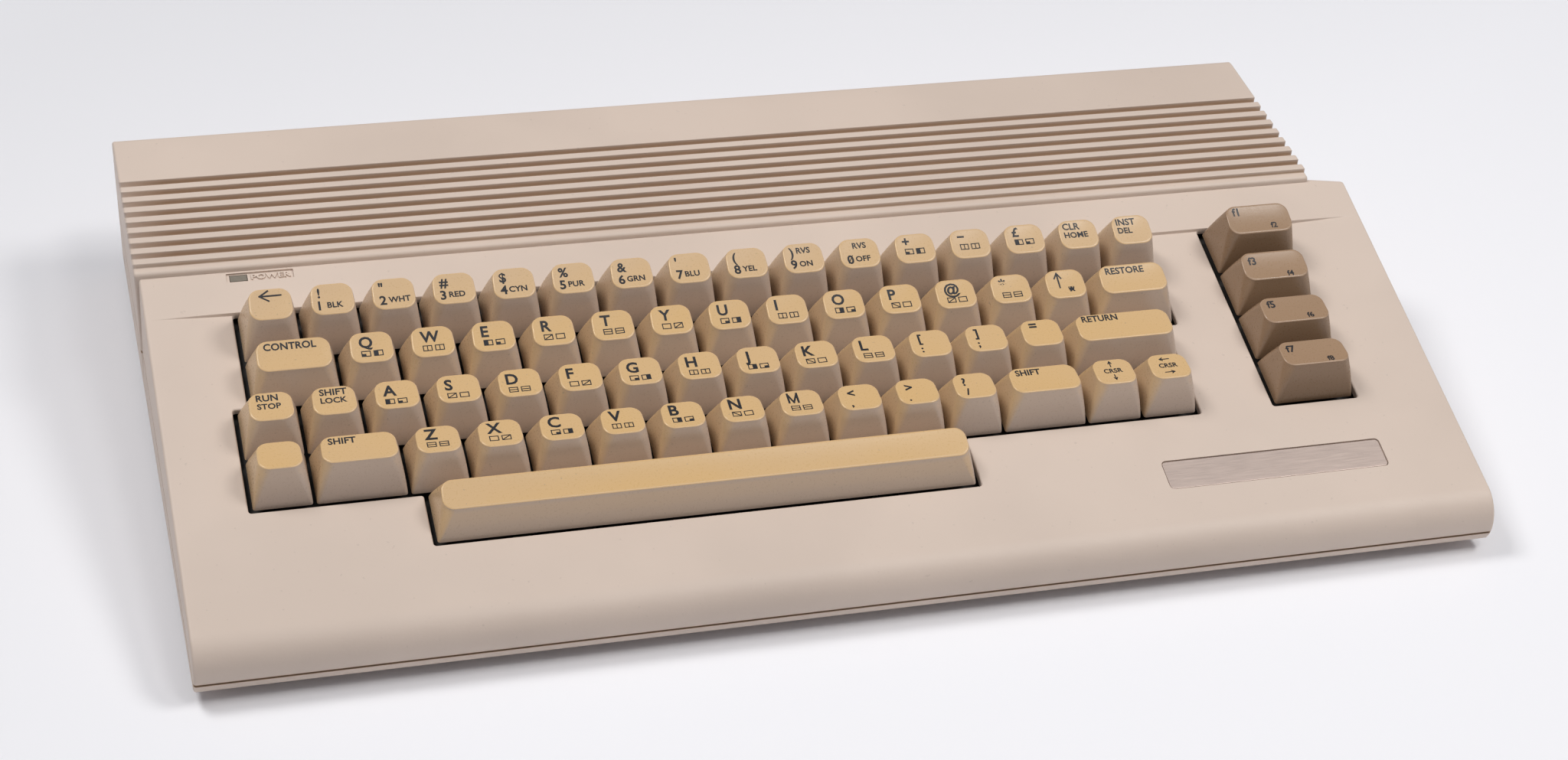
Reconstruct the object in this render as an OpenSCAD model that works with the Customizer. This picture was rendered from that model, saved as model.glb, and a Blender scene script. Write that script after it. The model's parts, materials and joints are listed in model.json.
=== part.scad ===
// Home computer with a built-in keyboard: a wedge-shaped two-part case, a full keyboard
// on a tilted deck, and the board, sockets and switches that it needs inside.
// X runs along the width, Y from the front edge to the rear wall, Z up from the table.

/* [Case] */
// Width of the case across the keyboard section
case_w = 417; // [400:1:520]
// Depth of the case from the rounded front edge to the rear wall
case_d = 218; // [205:1:270]
// Wall thickness of both case halves
wall = 2.5; // [2:0.1:3.2]
// Tilt of the keyboard deck
tilt = 12.5; // [11:0.5:13.5]
// Height of the deck at the front edge of the key openings
deck_z = 30; // [29:0.5:36]
// Distance from the front edge of the case to the front edge of the key openings
palm_d = 49.6; // [42:0.1:60]
// Radius of the rounded front edge
nose_r = 11; // [8:0.5:12]
// Radius of the rear top edge
rear_r = 4; // [3:0.5:8]
// Depth of the flat rear section, with its ribs
rear_d = 76.1; // [70:0.1:80]
// Height of the step from the deck up to the rear section
step_h = 3.58; // [2:0.01:6]
// How far the keyboard section runs on beside the rear section, over the socket bay
shoulder_d = 2.4; // [1:0.1:4]
// Height of the seam between the case halves at the front edge
seam_front_z = 8; // [7.5:0.5:9.5]
// Height of the seam at the rear wall
seam_rear_z = 29; // [27:0.5:33]
// How far the socket wall stands in from the right side
bay_inset = 12.5; // [8:0.5:14]
// Length of the socket bay along the right side
bay_d = 120; // [116:1:124]
// Height of the roof over the front part of the socket bay
bay_roof_z = 29; // [28:0.5:31]

/* [Ribs] */
// Number of grooves across the rear section
groove_count = 8; // [4:1:8]
// Distance from one groove to the next
groove_pitch = 5.75; // [5:0.01:6]
// Width of a groove
groove_w = 2.85; // [2:0.05:3.2]
// Depth of a groove
groove_depth = 2.2; // [1:0.1:2.5]
// Distance from the rear wall to the middle of the rearmost groove
rear_band = 28.2; // [20:0.1:30]
// Depth of the ledge in front of the frontmost rib
ledge_d = 3.35; // [2:0.05:5]
// How far the ledge lies below the ribs
ledge_drop = 1.65; // [1:0.05:2.5]

/* [Keys] */
// Distance from one key to the next
pitch = 19.05; // [15.8:0.05:19.05]
// Gap between neighbouring keycaps at the base
cap_gap = 1.05; // [0.8:0.05:1.4]
// Width of the top face of a single keycap
cap_top_w = 12.2; // [11:0.1:13]
// Depth of the top face of a keycap
cap_top_d = 10.4; // [9:0.1:11.5]
// Wall thickness of a keycap
cap_wall = 1.3; // [1:0.1:1.5]
// Travel of a key
travel = 4; // [3:0.1:4]
// Gap between the keycaps and the edge of the openings
opening_gap = 0.9; // [0.7:0.1:1.4]
// Distance from the left side of the case to the first number key's slot
keys_left = 29.5; // [27:0.5:45]
// Free strip between the main keys and the function keys
strip_w = 22.4; // [20:0.1:26]

/* [Key plungers] */
// Side of the square plunger stem
stem_w = 4.4; // [4:0.1:4.6]
// Clearance between the stem and its guide on each side
stem_gap = 0.25; // [0.2:0.05:0.35]
// Outer diameter of a guide
guide_dia = 8; // [7.8:0.1:8.2]
// Wire thickness of a key spring
spring_wire = 0.5; // [0.4:0.1:0.6]

/* [Board] */
// Gap between the main board and the side walls
board_gap = 2; // [1:0.5:4]
// Depth of the main board
board_d = 146; // [140:1:148]
// Thickness of the circuit boards
board_t = 1.6; // [1.2:0.1:2]
// Height of the posts that carry the main board
post_h = 4.5; // [4:0.5:5]

/* [Feet] */
// Height of the rubber feet
foot_h = 4.5; // [3:0.5:6]
// Diameter of the rubber feet
foot_dia = 13; // [10:0.5:16]

/* [Hidden] */
$fn = 48;

// places of the case
front_y = -case_d / 2;
rear_y = case_d / 2;
left_x = -case_w / 2;
right_x = case_w / 2;
socket_x = right_x - bay_inset;
deck_y = front_y + palm_d;
step_y = rear_y - rear_d;
rear_z = deck_top(step_y) + step_h;
shoulder_y = step_y + shoulder_d;
bay_y = rear_y - bay_d;
nose_y = front_y + nose_r;
nose_z = deck_top(nose_y) - nose_r / cos(tilt);
floor_z = foot_h + wall;
eps = 0.01;

// places of the keys, in the deck's own frame: x to the right, y up the slope, z out of it
keys_x = left_x + keys_left;
row_shift = pitch / 4;
main_units = 16;
function_x = main_units * pitch + strip_w;
function_units = 1.5;
rows = 4;
space_units = 9;
space_start = 2.5;
base_n = -1;
cap_ceiling = 1.4;
flange_top_n = 2.8;
flange_t = 1;
post_w = 3.4;
post_fit = 0.05;
post_h_in_cap = 3.6;
spring_clear = 0.25;
spring_r = guide_dia / 2 + spring_clear;
flange_w = 2 * (spring_r + spring_wire) + 0.2;
plate_n = -6;
plate_t = 2;
stem_end_n = -10.5;
chimney_top_n = flange_top_n - flange_t - travel - 0.4;
chimney_end_n = plate_n - plate_t - 2;
keyboard_board_n = stem_end_n - travel - 0.3;
keyboard_under = keyboard_board_n - board_t;
boss_w = 7;
cap_seat = 0.05;

// [height of the top face, how far the top sits back, tilt of the top] for rows 1 to 4 from the rear
row_form = [[15, 0.9, 10], [11.8, 1.8, 7], [11.9, 1.3, -2], [11.8, 1.7, -7]];
space_form = [9.6, 1.2, 10];

function deck_top(y) = deck_z + (y - deck_y) * tan(tilt);
function seam_z(y) = seam_front_z + (y - front_y) * (seam_rear_z - seam_front_z) / case_d;
function row_y(row) = (rows - row + 0.5) * pitch;
function row_start(row) = row > 2 ? -row_shift : 0;

// turns the deck's own frame into the frame of the whole object
module on_deck() {
    translate([keys_x, deck_y, deck_z]) rotate([tilt, 0, 0]) children();
}

// a flat outline drawn in Y and Z, stretched along X
module across(x0, x1) {
    translate([x0, 0, 0]) rotate([90, 0, 90]) linear_extrude(x1 - x0) children();
}

module box(x, y, z) {
    translate([x[0], y[0], z[0]]) cube([x[1] - x[0], y[1] - y[0], z[1] - z[0]]);
}

/* ---- case ---- */

// side view of the keyboard section, pulled in all round by inset
module front_outline(inset) {
    r = nose_r - inset;
    back = shoulder_y - inset;
    union() {
        intersection() {
            translate([nose_y, nose_z]) circle(r);
            translate([nose_y - r, foot_h + inset]) square(2 * r);
        }
        polygon([
            [nose_y, foot_h + inset], [back, foot_h + inset], [back, deck_top(back) - inset / cos(tilt)],
            [nose_y - r * sin(tilt), nose_z + r * cos(tilt)], [nose_y, nose_z]
        ]);
    }
}

// side view of the rear section; its inside has a lower ceiling under the ribs
module rear_outline(inset) {
    lap = 20;
    lap_drop = [0.5, 2];
    y0 = step_y - lap;
    top = rear_z - inset;
    under_ribs = inset > 0 ? top - max(groove_depth, ledge_drop) : top;
    band_y = rear_y - rear_band + groove_w + inset;
    back = rear_y - inset;
    r = max(rear_r - inset, 1);
    union() {
        translate([back - r, top - r]) circle(r);
        polygon([
            [y0, foot_h + inset], [back, foot_h + inset], [back, top - r], [back - r, top - r],
            [back - r, top], [band_y, top], [band_y, under_ribs], [step_y + inset, under_ribs],
            [step_y + inset, deck_top(step_y + inset) - inset / cos(tilt) - lap_drop[0]],
            [y0, deck_top(y0) - inset / cos(tilt) - lap_drop[1]]
        ]);
    }
}

// the whole case as one block, with the socket bay cut into its right side
module case_form(inset) {
    difference() {
        union() {
            across(left_x + inset, right_x - inset) front_outline(inset);
            across(left_x + inset, socket_x - inset) rear_outline(inset);
        }
        box([socket_x - inset, right_x + 1], [bay_y - inset, rear_y], [0, bay_roof_z + inset]);
    }
}

// everything below the seam
module below_seam() {
    across(left_x - 1, right_x + 1) polygon([
        [front_y - 1, -1], [front_y - 1, seam_z(front_y - 1)],
        [rear_y + 1, seam_z(rear_y + 1)], [rear_y + 1, -1]
    ]);
}

// key openings, right through the deck
module key_openings() {
    g = opening_gap;
    n0 = -2 * wall;
    n1 = nose_r;
    row2_y = 2 * pitch;
    on_deck() {
        box([-row_shift - g, (main_units - 0.25) * pitch + g], [-g, row2_y + g], [n0, n1]);
        box([-g, main_units * pitch + g], [row2_y - g, rows * pitch + g], [n0, n1]);
        box([space_start * pitch - g, (space_start + space_units) * pitch + g],
            [-pitch - g, 0], [n0, n1]);
        box([function_x - g, function_x + function_units * pitch + g], [-g, rows * pitch + g], [n0, n1]);
    }
}

// grooves between the ribs, and the ledge in front of them
module grooves() {
    for (i = [0:groove_count - 1]) {
        y = rear_y - rear_band - i * groove_pitch;
        box([left_x - 1, right_x + 1], [y - groove_w / 2, y + groove_w / 2],
            [rear_z - groove_depth, rear_z + 1]);
    }
    box([left_x - 1, right_x + 1], [step_y - 1, step_y + ledge_d], [rear_z - ledge_drop, rear_z + 1]);
}

// sockets in the rear wall: [middle x, width, lowest z, highest z]
board_z = floor_z + post_h;
board_top_z = board_z + board_t;
cartridge_x = socket_x - 49;
modulator_x = socket_x - 120;
modulator_w = 56;
video_x = socket_x - 162;
serial_x = socket_x - 187;
tape_x = socket_x - 223;
user_x = socket_x - 298;
cartridge_open = [cartridge_x, 66, board_top_z + 0.5, board_top_z + 13];
modulator_open = [modulator_x, 50, board_top_z + 1, board_top_z + 15];
tape_open = [tape_x, 34, floor_z + 0.5, board_top_z + 6];
user_open = [user_x, 64, floor_z + 0.5, board_top_z + 6];
rear_opens = [cartridge_open, modulator_open, tape_open, user_open];
din_r = 7.6;
din_bore_r = 6.75;
din_z = board_top_z + 9;
din_gap = 0.5;

// sockets in the right wall of the bay
joystick_ys = [bay_y + 25, bay_y + 58];
joystick_w = 25;
joystick_h = 10.5;
joystick_z = board_top_z + 6.5;
rocker_y = bay_y + 87;
rocker_w = 16;
rocker_h = 11;
rocker_room = 1;
switch_z = board_top_z + 8;
power_y = bay_y + 107.5;

module wall_openings() {
    deep = 3 * wall;
    for (o = rear_opens)
        box([o[0] - o[1] / 2, o[0] + o[1] / 2], [rear_y - deep, rear_y + 1], [o[2], o[3]]);
    for (x = [video_x, serial_x])
        translate([x, rear_y + 1, din_z]) rotate([90, 0, 0]) cylinder(r = din_r + din_gap, h = deep + 1);
    for (y = joystick_ys)
        box([socket_x - deep, socket_x + 1], [y - joystick_w / 2, y + joystick_w / 2],
            [joystick_z - joystick_h / 2, joystick_z + joystick_h / 2]);
    box([socket_x - deep, socket_x + 1],
        [rocker_y - rocker_w / 2 - rocker_room, rocker_y + rocker_w / 2 + rocker_room],
        [switch_z - rocker_h / 2 - rocker_room, switch_z + rocker_h / 2 + rocker_room]);
    translate([socket_x - deep, power_y, din_z]) rotate([0, 90, 0])
        cylinder(r = din_r + din_gap, h = deep + 1);
}

// case screws: three near the front edge, two near the rear wall
screw_r = 1.5;
pilot_r = 1.2;
head_r = 3;
head_h = 2;
boss_r = 4;
case_screw_xs = [left_x + 22, 0, right_x - 22];
front_screw_y = front_y + 19;
rear_screw_y = rear_y - 7.5;
between_sockets_x = (cartridge_x - cartridge_open[1] / 2 + modulator_x + modulator_w / 2) / 2;
rear_screw_xs = [left_x + 10, between_sockets_x];
thread_gap = 0.05;
case_screws_xy = concat(
    [for (x = case_screw_xs) [x, front_screw_y]], [for (x = rear_screw_xs) [x, rear_screw_y]]
);
seam_gap = 0.2;

// keyboard posts under the deck, in the deck's frame
post_r = 3;
side_left = -keys_left + wall + 10;
side_right = function_x + function_units * pitch + 9;
strip_mid = main_units * pitch + strip_w / 2;
keyboard_posts = [
    for (x = [side_left, side_right, strip_mid]) for (y = [0.6, 3.4]) [x, y * pitch],
    for (x = [1, 13.5]) [x * pitch, -0.55 * pitch]
];

module top_case() {
    color("#cdbfae") difference() {
        union() {
            difference() {
                case_form(0);
                case_form(wall);
            }
            intersection() {
                case_form(eps);
                union() {
                    for (p = case_screws_xy)
                        translate([p[0], p[1], seam_z(p[1]) - 3]) cylinder(r = boss_r, h = rear_z);
                    on_deck() for (p = keyboard_posts)
                        translate([p[0], p[1], plate_n]) cylinder(r = post_r, h = -plate_n);
                }
            }
        }
        below_seam();
        key_openings();
        grooves();
        wall_openings();
        for (p = case_screws_xy)
            translate([p[0], p[1], foot_h]) cylinder(r = pilot_r, h = boss_depth(p[1]));
        on_deck() for (p = keyboard_posts)
            translate([p[0], p[1], plate_n - 10]) cylinder(r = pilot_r, h = 10 + 3);
        on_deck() nameplate_space();
        on_deck() lamp_space();
    }
}

function boss_depth(y) = (y > step_y ? rear_z - 12 : deck_top(y) - wall - 1) - foot_h;

// main board posts: [x, y]
board_x0 = left_x + wall + board_gap;
board_x1 = socket_x - wall - board_gap;
board_y1 = rear_y - wall - 1;
board_y0 = board_y1 - board_d;
board_posts = [
    for (x = [board_x0 + 26, (board_x0 + board_x1) / 2, board_x1 - 26])
        for (y = [board_y0 + 6, board_y1 - 22])
            [x, y]
];
board_post_r = 3.5;

module bottom_case() {
    color("#c9bba9") difference() {
        union() {
            difference() {
                intersection() {
                    case_form(0);
                    below_seam();
                }
                case_form(wall);
            }
            for (p = board_posts)
                translate([p[0], p[1], floor_z - eps]) cylinder(r = board_post_r, h = post_h + eps);
            for (p = case_screws_xy)
                translate([p[0], p[1], floor_z - eps])
                    cylinder(r = boss_r, h = seam_z(p[1] - boss_r) - floor_z - seam_gap + eps);
            seam_tongues();
        }
        wall_openings();
        for (p = board_posts)
            translate([p[0], p[1], floor_z - 1]) cylinder(r = pilot_r, h = post_h + 2);
        for (p = case_screws_xy) {
            translate([p[0], p[1], 0]) cylinder(r = screw_r + 0.3, h = rear_z);
            translate([p[0], p[1], 0]) cylinder(r = head_r + 0.4, h = foot_h + screw_sink);
        }
        vents();
        for (p = feet_xy)
            translate([p[0], p[1], foot_h - 1]) cylinder(r = foot_dia / 2, h = 1 + foot_seat);
    }
}

screw_sink = 1.2;
foot_seat = 0.8;
feet_xy = [for (x = [left_x + 34, right_x - 34]) for (y = [front_y + 34, rear_y - 22]) [x, y]];

// small tongues along the inside of the seam keep the halves in line
module seam_tongues() {
    tongue_t = 1.2;
    tongue_h = 2;
    for (side = [left_x + wall, right_x - wall - tongue_t])
        for (y = [front_y + 30, front_y + 62])
            box([side, side + tongue_t], [y, y + 12], [floor_z - eps, seam_z(y) + tongue_h]);
}

// cooling slots in the floor below the main board
module vents() {
    slot_w = 3;
    slot_d = 34;
    slot_pitch = 8;
    for (x = [board_x0 + 50:slot_pitch:board_x1 - 60]) for (y = [board_y0 + 24, board_y0 + 78])
        box([x, x + slot_w], [y, y + slot_d], [0, floor_z + 1]);
}

/* ---- nameplate and lamp ---- */
plate_x = 280.6;
plate_y = -29.5;
plate_w = 76.4;
plate_d = 11.3;
plate_sink = 1;
plate_r = 1.6;
nameplate_t = 0.8;
fit = 0.15;

module rounded_plate(w, d, r, h) {
    linear_extrude(h) union() {
        translate([r, 0]) square([w - 2 * r, d]);
        translate([0, r]) square([w, d - 2 * r]);
        for (x = [r, w - r]) for (y = [r, d - r]) translate([x, y]) circle(r);
    }
}

module nameplate_space() {
    translate([plate_x, plate_y, -plate_sink]) rounded_plate(plate_w, plate_d, plate_r, plate_sink + 2);
}

module nameplate() {
    color("#9c8f86") on_deck() translate([plate_x + fit, plate_y + fit, -plate_sink])
        rounded_plate(plate_w - 2 * fit, plate_d - 2 * fit, plate_r - fit, nameplate_t);
}

lamp_x = 0;
lamp_y = rows * pitch + 14.4;
lamp_w = 5.7;
lamp_d = 2.7;
lamp_recess = [-1, 20.2];
lamp_sink = 0.6;
lamp_body_r = 2.4;
lamp_body_n = -9;
lens_end_n = -wall - 1.5;

module lamp_space() {
    box(lamp_recess, [lamp_y - 0.6, lamp_y + lamp_d + 0.4], [-lamp_sink, 2]);
    box([lamp_x, lamp_x + lamp_w], [lamp_y, lamp_y + lamp_d], [-2 * wall, 1]);
}

module power_lamp() {
    color("#7d7b78") on_deck() {
        box([lamp_x + fit, lamp_x + lamp_w - fit], [lamp_y + fit, lamp_y + lamp_d - fit],
            [lens_end_n, -lamp_sink]);
        translate([lamp_x + lamp_w / 2, lamp_y + lamp_d / 2, lamp_body_n])
            cylinder(r = lamp_body_r, h = lens_end_n - lamp_body_n);
    }
}

/* ---- keyboard ---- */

// centre and width of each key: [row, start in units, width in units]
function key_x(k) = row_start(k[0]) + (k[1] + k[2] / 2) * pitch;
number_keys = [for (i = [0:main_units - 1]) [1, i, 1]];
control_key = [2, 0, 1.5];
restore_key = [2, 14.5, 1.5];
run_key = [3, 0, 1];
lock_key = [3, 1, 1];
enter_key = [3, 14, 2];
plain_key = [4, 0, 1];
shift_keys = [[4, 1, 1.5], [4, 12.5, 1.5]];
cursor_keys = [[4, 14, 1], [4, 15, 1]];
row2_letters = "qwertyuiop";
row3_letters = "asdfghjkl";
row4_letters = "zxcvbnm";
letters = str(row2_letters, row3_letters, row4_letters);
letter_places = concat(
    [for (i = [0:9]) [2, 1.5 + i, 1]], [for (i = [0:8]) [3, 2 + i, 1]], [for (i = [0:6]) [4, 2.5 + i, 1]]
);
sign_places = concat(
    [for (i = [0:2]) [2, 11.5 + i, 1]],
    [for (i = [0:2]) [3, 11 + i, 1]],
    [for (i = [0:2]) [4, 9.5 + i, 1]]
);
command_places = concat([control_key, restore_key, run_key, plain_key], cursor_keys);
function_places = [for (row = [1:rows]) [row, 0, function_units]];
all_main_keys = concat(
    number_keys, command_places, sign_places, letter_places, shift_keys, [enter_key, lock_key]
);

// middles of all plungers in the deck's frame
main_plungers = [for (k = all_main_keys) [key_x(k), row_y(k[0])]];
function_plungers = [for (k = function_places) [function_x + k[2] * pitch / 2, row_y(k[0])]];
space_x = (space_start + space_units / 2) * pitch;
space_y = -pitch / 2;
space_plunger = [[space_x, space_y]];
sprung = concat(main_plungers, function_plungers, space_plunger);

// corners of a keycap: base w by d at base_n, top pulled in, set back and tilted
function cap_points(w, d, top_w, top_d, top_n, back, slope, narrow) = [
    [-w / 2, -d / 2, base_n], [w / 2, -d / 2, base_n], [w / 2, d / 2, base_n], [-w / 2, d / 2, base_n],
    for (c = [[-1, -1], [1, -1], [1, 1], [-1, 1]]) [
        c[0] * (top_w - (c[1] > 0 ? narrow : 0)) / 2, back + c[1] * top_d / 2 * cos(slope),
        top_n + c[1] * top_d / 2 * sin(slope)
    ]
];
cap_faces = [
    [0, 1, 2, 3], [4, 7, 6, 5], [0, 4, 5, 1], [1, 5, 6, 2], [2, 6, 7, 3], [3, 7, 4, 0]
];

module cap_block(w, d, top_w, top_d, top_n, back, slope) {
    narrow = 0.8;
    polyhedron(cap_points(w, d, top_w, top_d, top_n, back, slope, narrow), cap_faces);
}

// hollow tapered cap with room for the plunger's flange and a square boss that holds its post
module cap(w, d, top_w, top_d, form) {
    wall_at_top = 1.2 * cap_wall;
    flange_room = flange_w / 2 + 0.2;
    difference() {
        cap_block(w, d, top_w, top_d, form[0], form[1], form[2]);
        box([-flange_room, flange_room], [-flange_room, flange_room],
            [base_n - 1, flange_top_n - cap_seat / 2]);
        difference() {
            translate([0, 0, -eps]) cap_block(w - 2 * cap_wall, d - 2 * cap_wall, top_w - wall_at_top,
                top_d - wall_at_top, form[0] - cap_ceiling, form[1], form[2]);
            box([-boss_w / 2, boss_w / 2], [-boss_w / 2, boss_w / 2], [flange_top_n, form[0] + 1]);
        }
        post_space(post_w / 2 + post_fit, post_h_in_cap + post_fit);
    }
}

module post_space(half, h) {
    box([-half, half], [-half, half], [flange_top_n - eps, flange_top_n + h]);
}

// sprung plunger: a flange that the cap sits on, a post inside the cap, and a stem in its guide
module plunger() {
    half = stem_w / 2;
    edge = flange_w / 2;
    box([-edge, edge], [-edge, edge], [flange_top_n - flange_t, flange_top_n - cap_seat]);
    box([-half, half], [-half, half], [stem_end_n, flange_top_n - flange_t + eps]);
    box([-post_w / 2, post_w / 2], [-post_w / 2, post_w / 2],
        [flange_top_n - flange_t, flange_top_n + post_h_in_cap]);
}

// one key: its cap and its plunger
module key_at(x, row, units, tint) {
    w = units * pitch - cap_gap;
    d = pitch - cap_gap;
    top_w = cap_top_w + (units - 1) * pitch;
    on_deck() translate([x, row_y(row), 0]) {
        color(tint) cap(w, d, top_w, cap_top_d, row_form[row - 1]);
        color("#3b3835") plunger();
    }
}

beige = "#cbb996";
brown = "#8c7c6c";

module keys(places) {
    for (k = places) key_at(key_x(k), k[0], k[2], beige);
}

module number_row_keys() { keys(number_keys); }
module punctuation_keys() { keys(sign_places); }
module command_keys() { keys(command_places); }
module return_key() { keys([enter_key]); }
module left_shift_key() { keys([shift_keys[0]]); }
module right_shift_key() { keys([shift_keys[1]]); }
module shift_lock_key() { keys([lock_key]); }
module letter_key(letter) { keys([letter_places[search(letter, letters)[0]]]); }

module function_keys() {
    for (k = function_places) key_at(function_x + k[2] * pitch / 2, k[0], k[2], brown);
}

// the space bar has one sprung plunger, and lugs for the wire that keeps it level
lug_t = 1.6;
lug_half = 2.2;
lug_x = 3 * pitch;
module space_bar() {
    w = space_units * pitch - cap_gap;
    end_taper = 5.4;
    on_deck() translate([space_x, space_y, 0]) {
        color(beige) {
            cap(w, pitch - cap_gap, w - end_taper, cap_top_d - 1, space_form);
            for (side = [-1, 1]) translate([side * lug_x, 0, 0]) lug();
        }
        color("#3b3835") plunger();
    }
}

// levelling wire: a straight length in two clips of the frame, and two arms hooked into the bar
wire_r = 0.7;
wire_gap = 0.05;
wire_arm = 9;
wire_pivot_n = plate_n - plate_t / 2;
hook_n = wire_pivot_n + travel / 2;
hook_y = space_y + lug_half;
wire_rest = asin((hook_n - wire_pivot_n) / wire_arm);
wire_pivot_y = hook_y - wire_arm * cos(wire_rest);
hook_side = 1.8;
hook_reach = lug_x - lug_t / 2 - hook_side;
hook_l = 2 * hook_side + lug_t - 0.6;

// lug under the bar with a slot for the hook
module lug() {
    mid = hook_y - space_y;
    slot_half = 1.3;
    slot_gap = 0.15;
    difference() {
        box([-lug_t / 2, lug_t / 2], [mid - lug_half, mid + lug_half],
            [hook_n - lug_half, space_form[0] - cap_ceiling / 2]);
        box([-lug_t, lug_t], [mid - slot_half, mid + slot_half],
            [hook_n - wire_r - slot_gap, hook_n + wire_r + slot_gap]);
    }
}

module space_bar_wire() {
    arm_r = 0.95 * wire_r;
    full_l = 2 * (hook_reach + wire_r);
    color("#b9bcc0") on_deck() translate([space_x, 0, 0]) {
        translate([-full_l / 2, wire_pivot_y, wire_pivot_n]) rotate([0, 90, 0])
            cylinder(r = wire_r, h = full_l);
        for (side = [-1, 1]) {
            translate([side * hook_reach, wire_pivot_y, wire_pivot_n]) rotate([wire_rest - 90, 0, 0])
                cylinder(r = arm_r, h = wire_arm);
            translate([side * (hook_reach - wire_r), hook_y, hook_n]) rotate([0, side * 90, 0])
                cylinder(r = wire_r, h = hook_l + wire_r);
        }
    }
}

// frame: a plate with a guide for each plunger, screwed under the deck
frame_x = [-keys_left + wall + 5, side_right + 5];
frame_y = [-1.2 * pitch, rows * pitch + 6];
pillar_xs = concat([for (i = [0:4]) 1 + i * 3.92 * pitch], [strip_mid, side_right - 3]);
board_pillars = [for (x = pillar_xs) [x, 2 * pitch]];
pillar_r = 2.6;

module keyboard_frame() {
    color("#33312f") on_deck() difference() {
        union() {
            box(frame_x, frame_y, [plate_n - plate_t, plate_n]);
            for (p = sprung)
                translate([p[0], p[1], chimney_end_n])
                    cylinder(r = guide_dia / 2, h = chimney_top_n - chimney_end_n);
            for (p = board_pillars)
                translate([p[0], p[1], keyboard_board_n])
                    cylinder(r = pillar_r, h = plate_n - 1 - keyboard_board_n);
            for (side = [-1, 1]) wire_clip(side);
        }
        for (p = sprung) {
            half = stem_w / 2 + stem_gap;
            box([p[0] - half, p[0] + half], [p[1] - half, p[1] + half],
                [chimney_end_n - 1, chimney_top_n + 1]);
        }
        for (p = keyboard_posts)
            translate([p[0], p[1], plate_n - plate_t - 1]) cylinder(r = screw_r + 0.2, h = plate_t + 2);
        for (p = board_pillars)
            translate([p[0], p[1], keyboard_board_n - 1]) cylinder(r = pilot_r, h = 5);
        wire_slots();
    }
}

clip_x = 2 * pitch;
clip_half = 1.5;
module wire_clip(side) {
    edge = 2.2;
    box([space_x + side * clip_x - clip_half, space_x + side * clip_x + clip_half],
        [wire_pivot_y - edge, wire_pivot_y + edge],
        [wire_pivot_n - wire_r - 1.2, wire_pivot_n + wire_r + 0.8]);
}

// bores in the clips, and slots in the plate for the wire and the lugs to swing in
module wire_slots() {
    room = 0.6;
    half = wire_r + room;
    n = [wire_pivot_n - 2 * plate_t, plate_n + 1];
    end_x = hook_reach + half;
    inner = clip_x - clip_half;
    outer = clip_x + clip_half;
    translate([space_x, 0, 0]) {
        for (x = [[-end_x, -outer], [-inner, inner], [outer, end_x]])
            box(x, [wire_pivot_y - half, wire_pivot_y + half], n);
        translate([-outer - 1, wire_pivot_y, wire_pivot_n]) rotate([0, 90, 0])
            cylinder(r = wire_r + wire_gap, h = 2 * outer + 2);
        for (side = [-1, 1])
            box([side * lug_x - hook_side - lug_t - 1, side * lug_x + hook_side + lug_t + 1],
                [wire_pivot_y - half, wire_pivot_y + wire_arm + lug_half + room], n);
    }
}

module keyboard_board() {
    color("#4d6b3c") on_deck() difference() {
        box([frame_x[0] + 6, frame_x[1] - 6], [-0.9 * pitch, frame_y[1] - 3],
            [keyboard_under, keyboard_board_n]);
        for (p = board_pillars)
            translate([p[0], p[1], keyboard_under - 1]) cylinder(r = screw_r + 0.2, h = board_t + 2);
    }
}

// the springs drawn as short tubes, at the height they have with the keys pressed home
module key_springs() {
    pressed_h = flange_top_n - flange_t - travel - plate_n - 0.1;
    color("#a9acb0") on_deck() for (p = sprung)
        translate([p[0], p[1], plate_n]) difference() {
            cylinder(r = spring_r + spring_wire, h = pressed_h);
            translate([0, 0, -1]) cylinder(r = spring_r, h = pressed_h + 2);
        }
}

// latching contact block round the shift lock plunger
module shift_lock_switch() {
    block = 13;
    half = stem_w / 2 + stem_gap;
    color("#d8d2c4") on_deck() translate([key_x(lock_key), row_y(lock_key[0]), 0]) difference() {
        box([-block / 2, block / 2], [-block / 2, block / 2], [keyboard_board_n, chimney_end_n]);
        box([-half, half], [-half, half], [keyboard_board_n - 1, chimney_end_n + 1]);
    }
}

/* ---- board and what it carries ---- */

module main_board() {
    color("#3f6b45") difference() {
        union() {
            box([board_x0, board_x1], [board_y0, board_y1 - 6], [board_z, board_top_z]);
            for (o = [tape_open, user_open])
                box([o[0] - o[1] / 2 + 3, o[0] + o[1] / 2 - 3], [board_y1 - 6 - eps, rear_y - 1.5],
                    [board_z, board_top_z]);
        }
        for (p = board_posts)
            translate([p[0], p[1], board_z - 1]) cylinder(r = screw_r + 0.2, h = board_t + 2);
        for (p = case_screws_xy)
            translate([p[0], p[1], board_z - 1]) cylinder(r = boss_r + 1, h = board_t + 2);
    }
}

// chips: [x from the board's left edge, y from its rear edge, length, width]
chips = [
    for (i = [0:7]) [34 + i * 23, 112, 19, 7.5],
    for (i = [0:4]) [34 + i * 50, 62, 36, 14],
    for (i = [0:3]) [40 + i * 60, 86, 51, 14]
];
chip_h = 4;
chip_lift = 0.8;
module board_chips() {
    color("#2b2b2d") for (c = chips)
        translate([board_x0 + c[0], board_y1 - c[1], board_top_z]) {
            box([0, c[2]], [0, c[3]], [chip_lift, chip_h]);
            box([1, c[2] - 1], [0.4, c[3] - 0.4], [0, chip_lift + eps]);
        }
}

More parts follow.
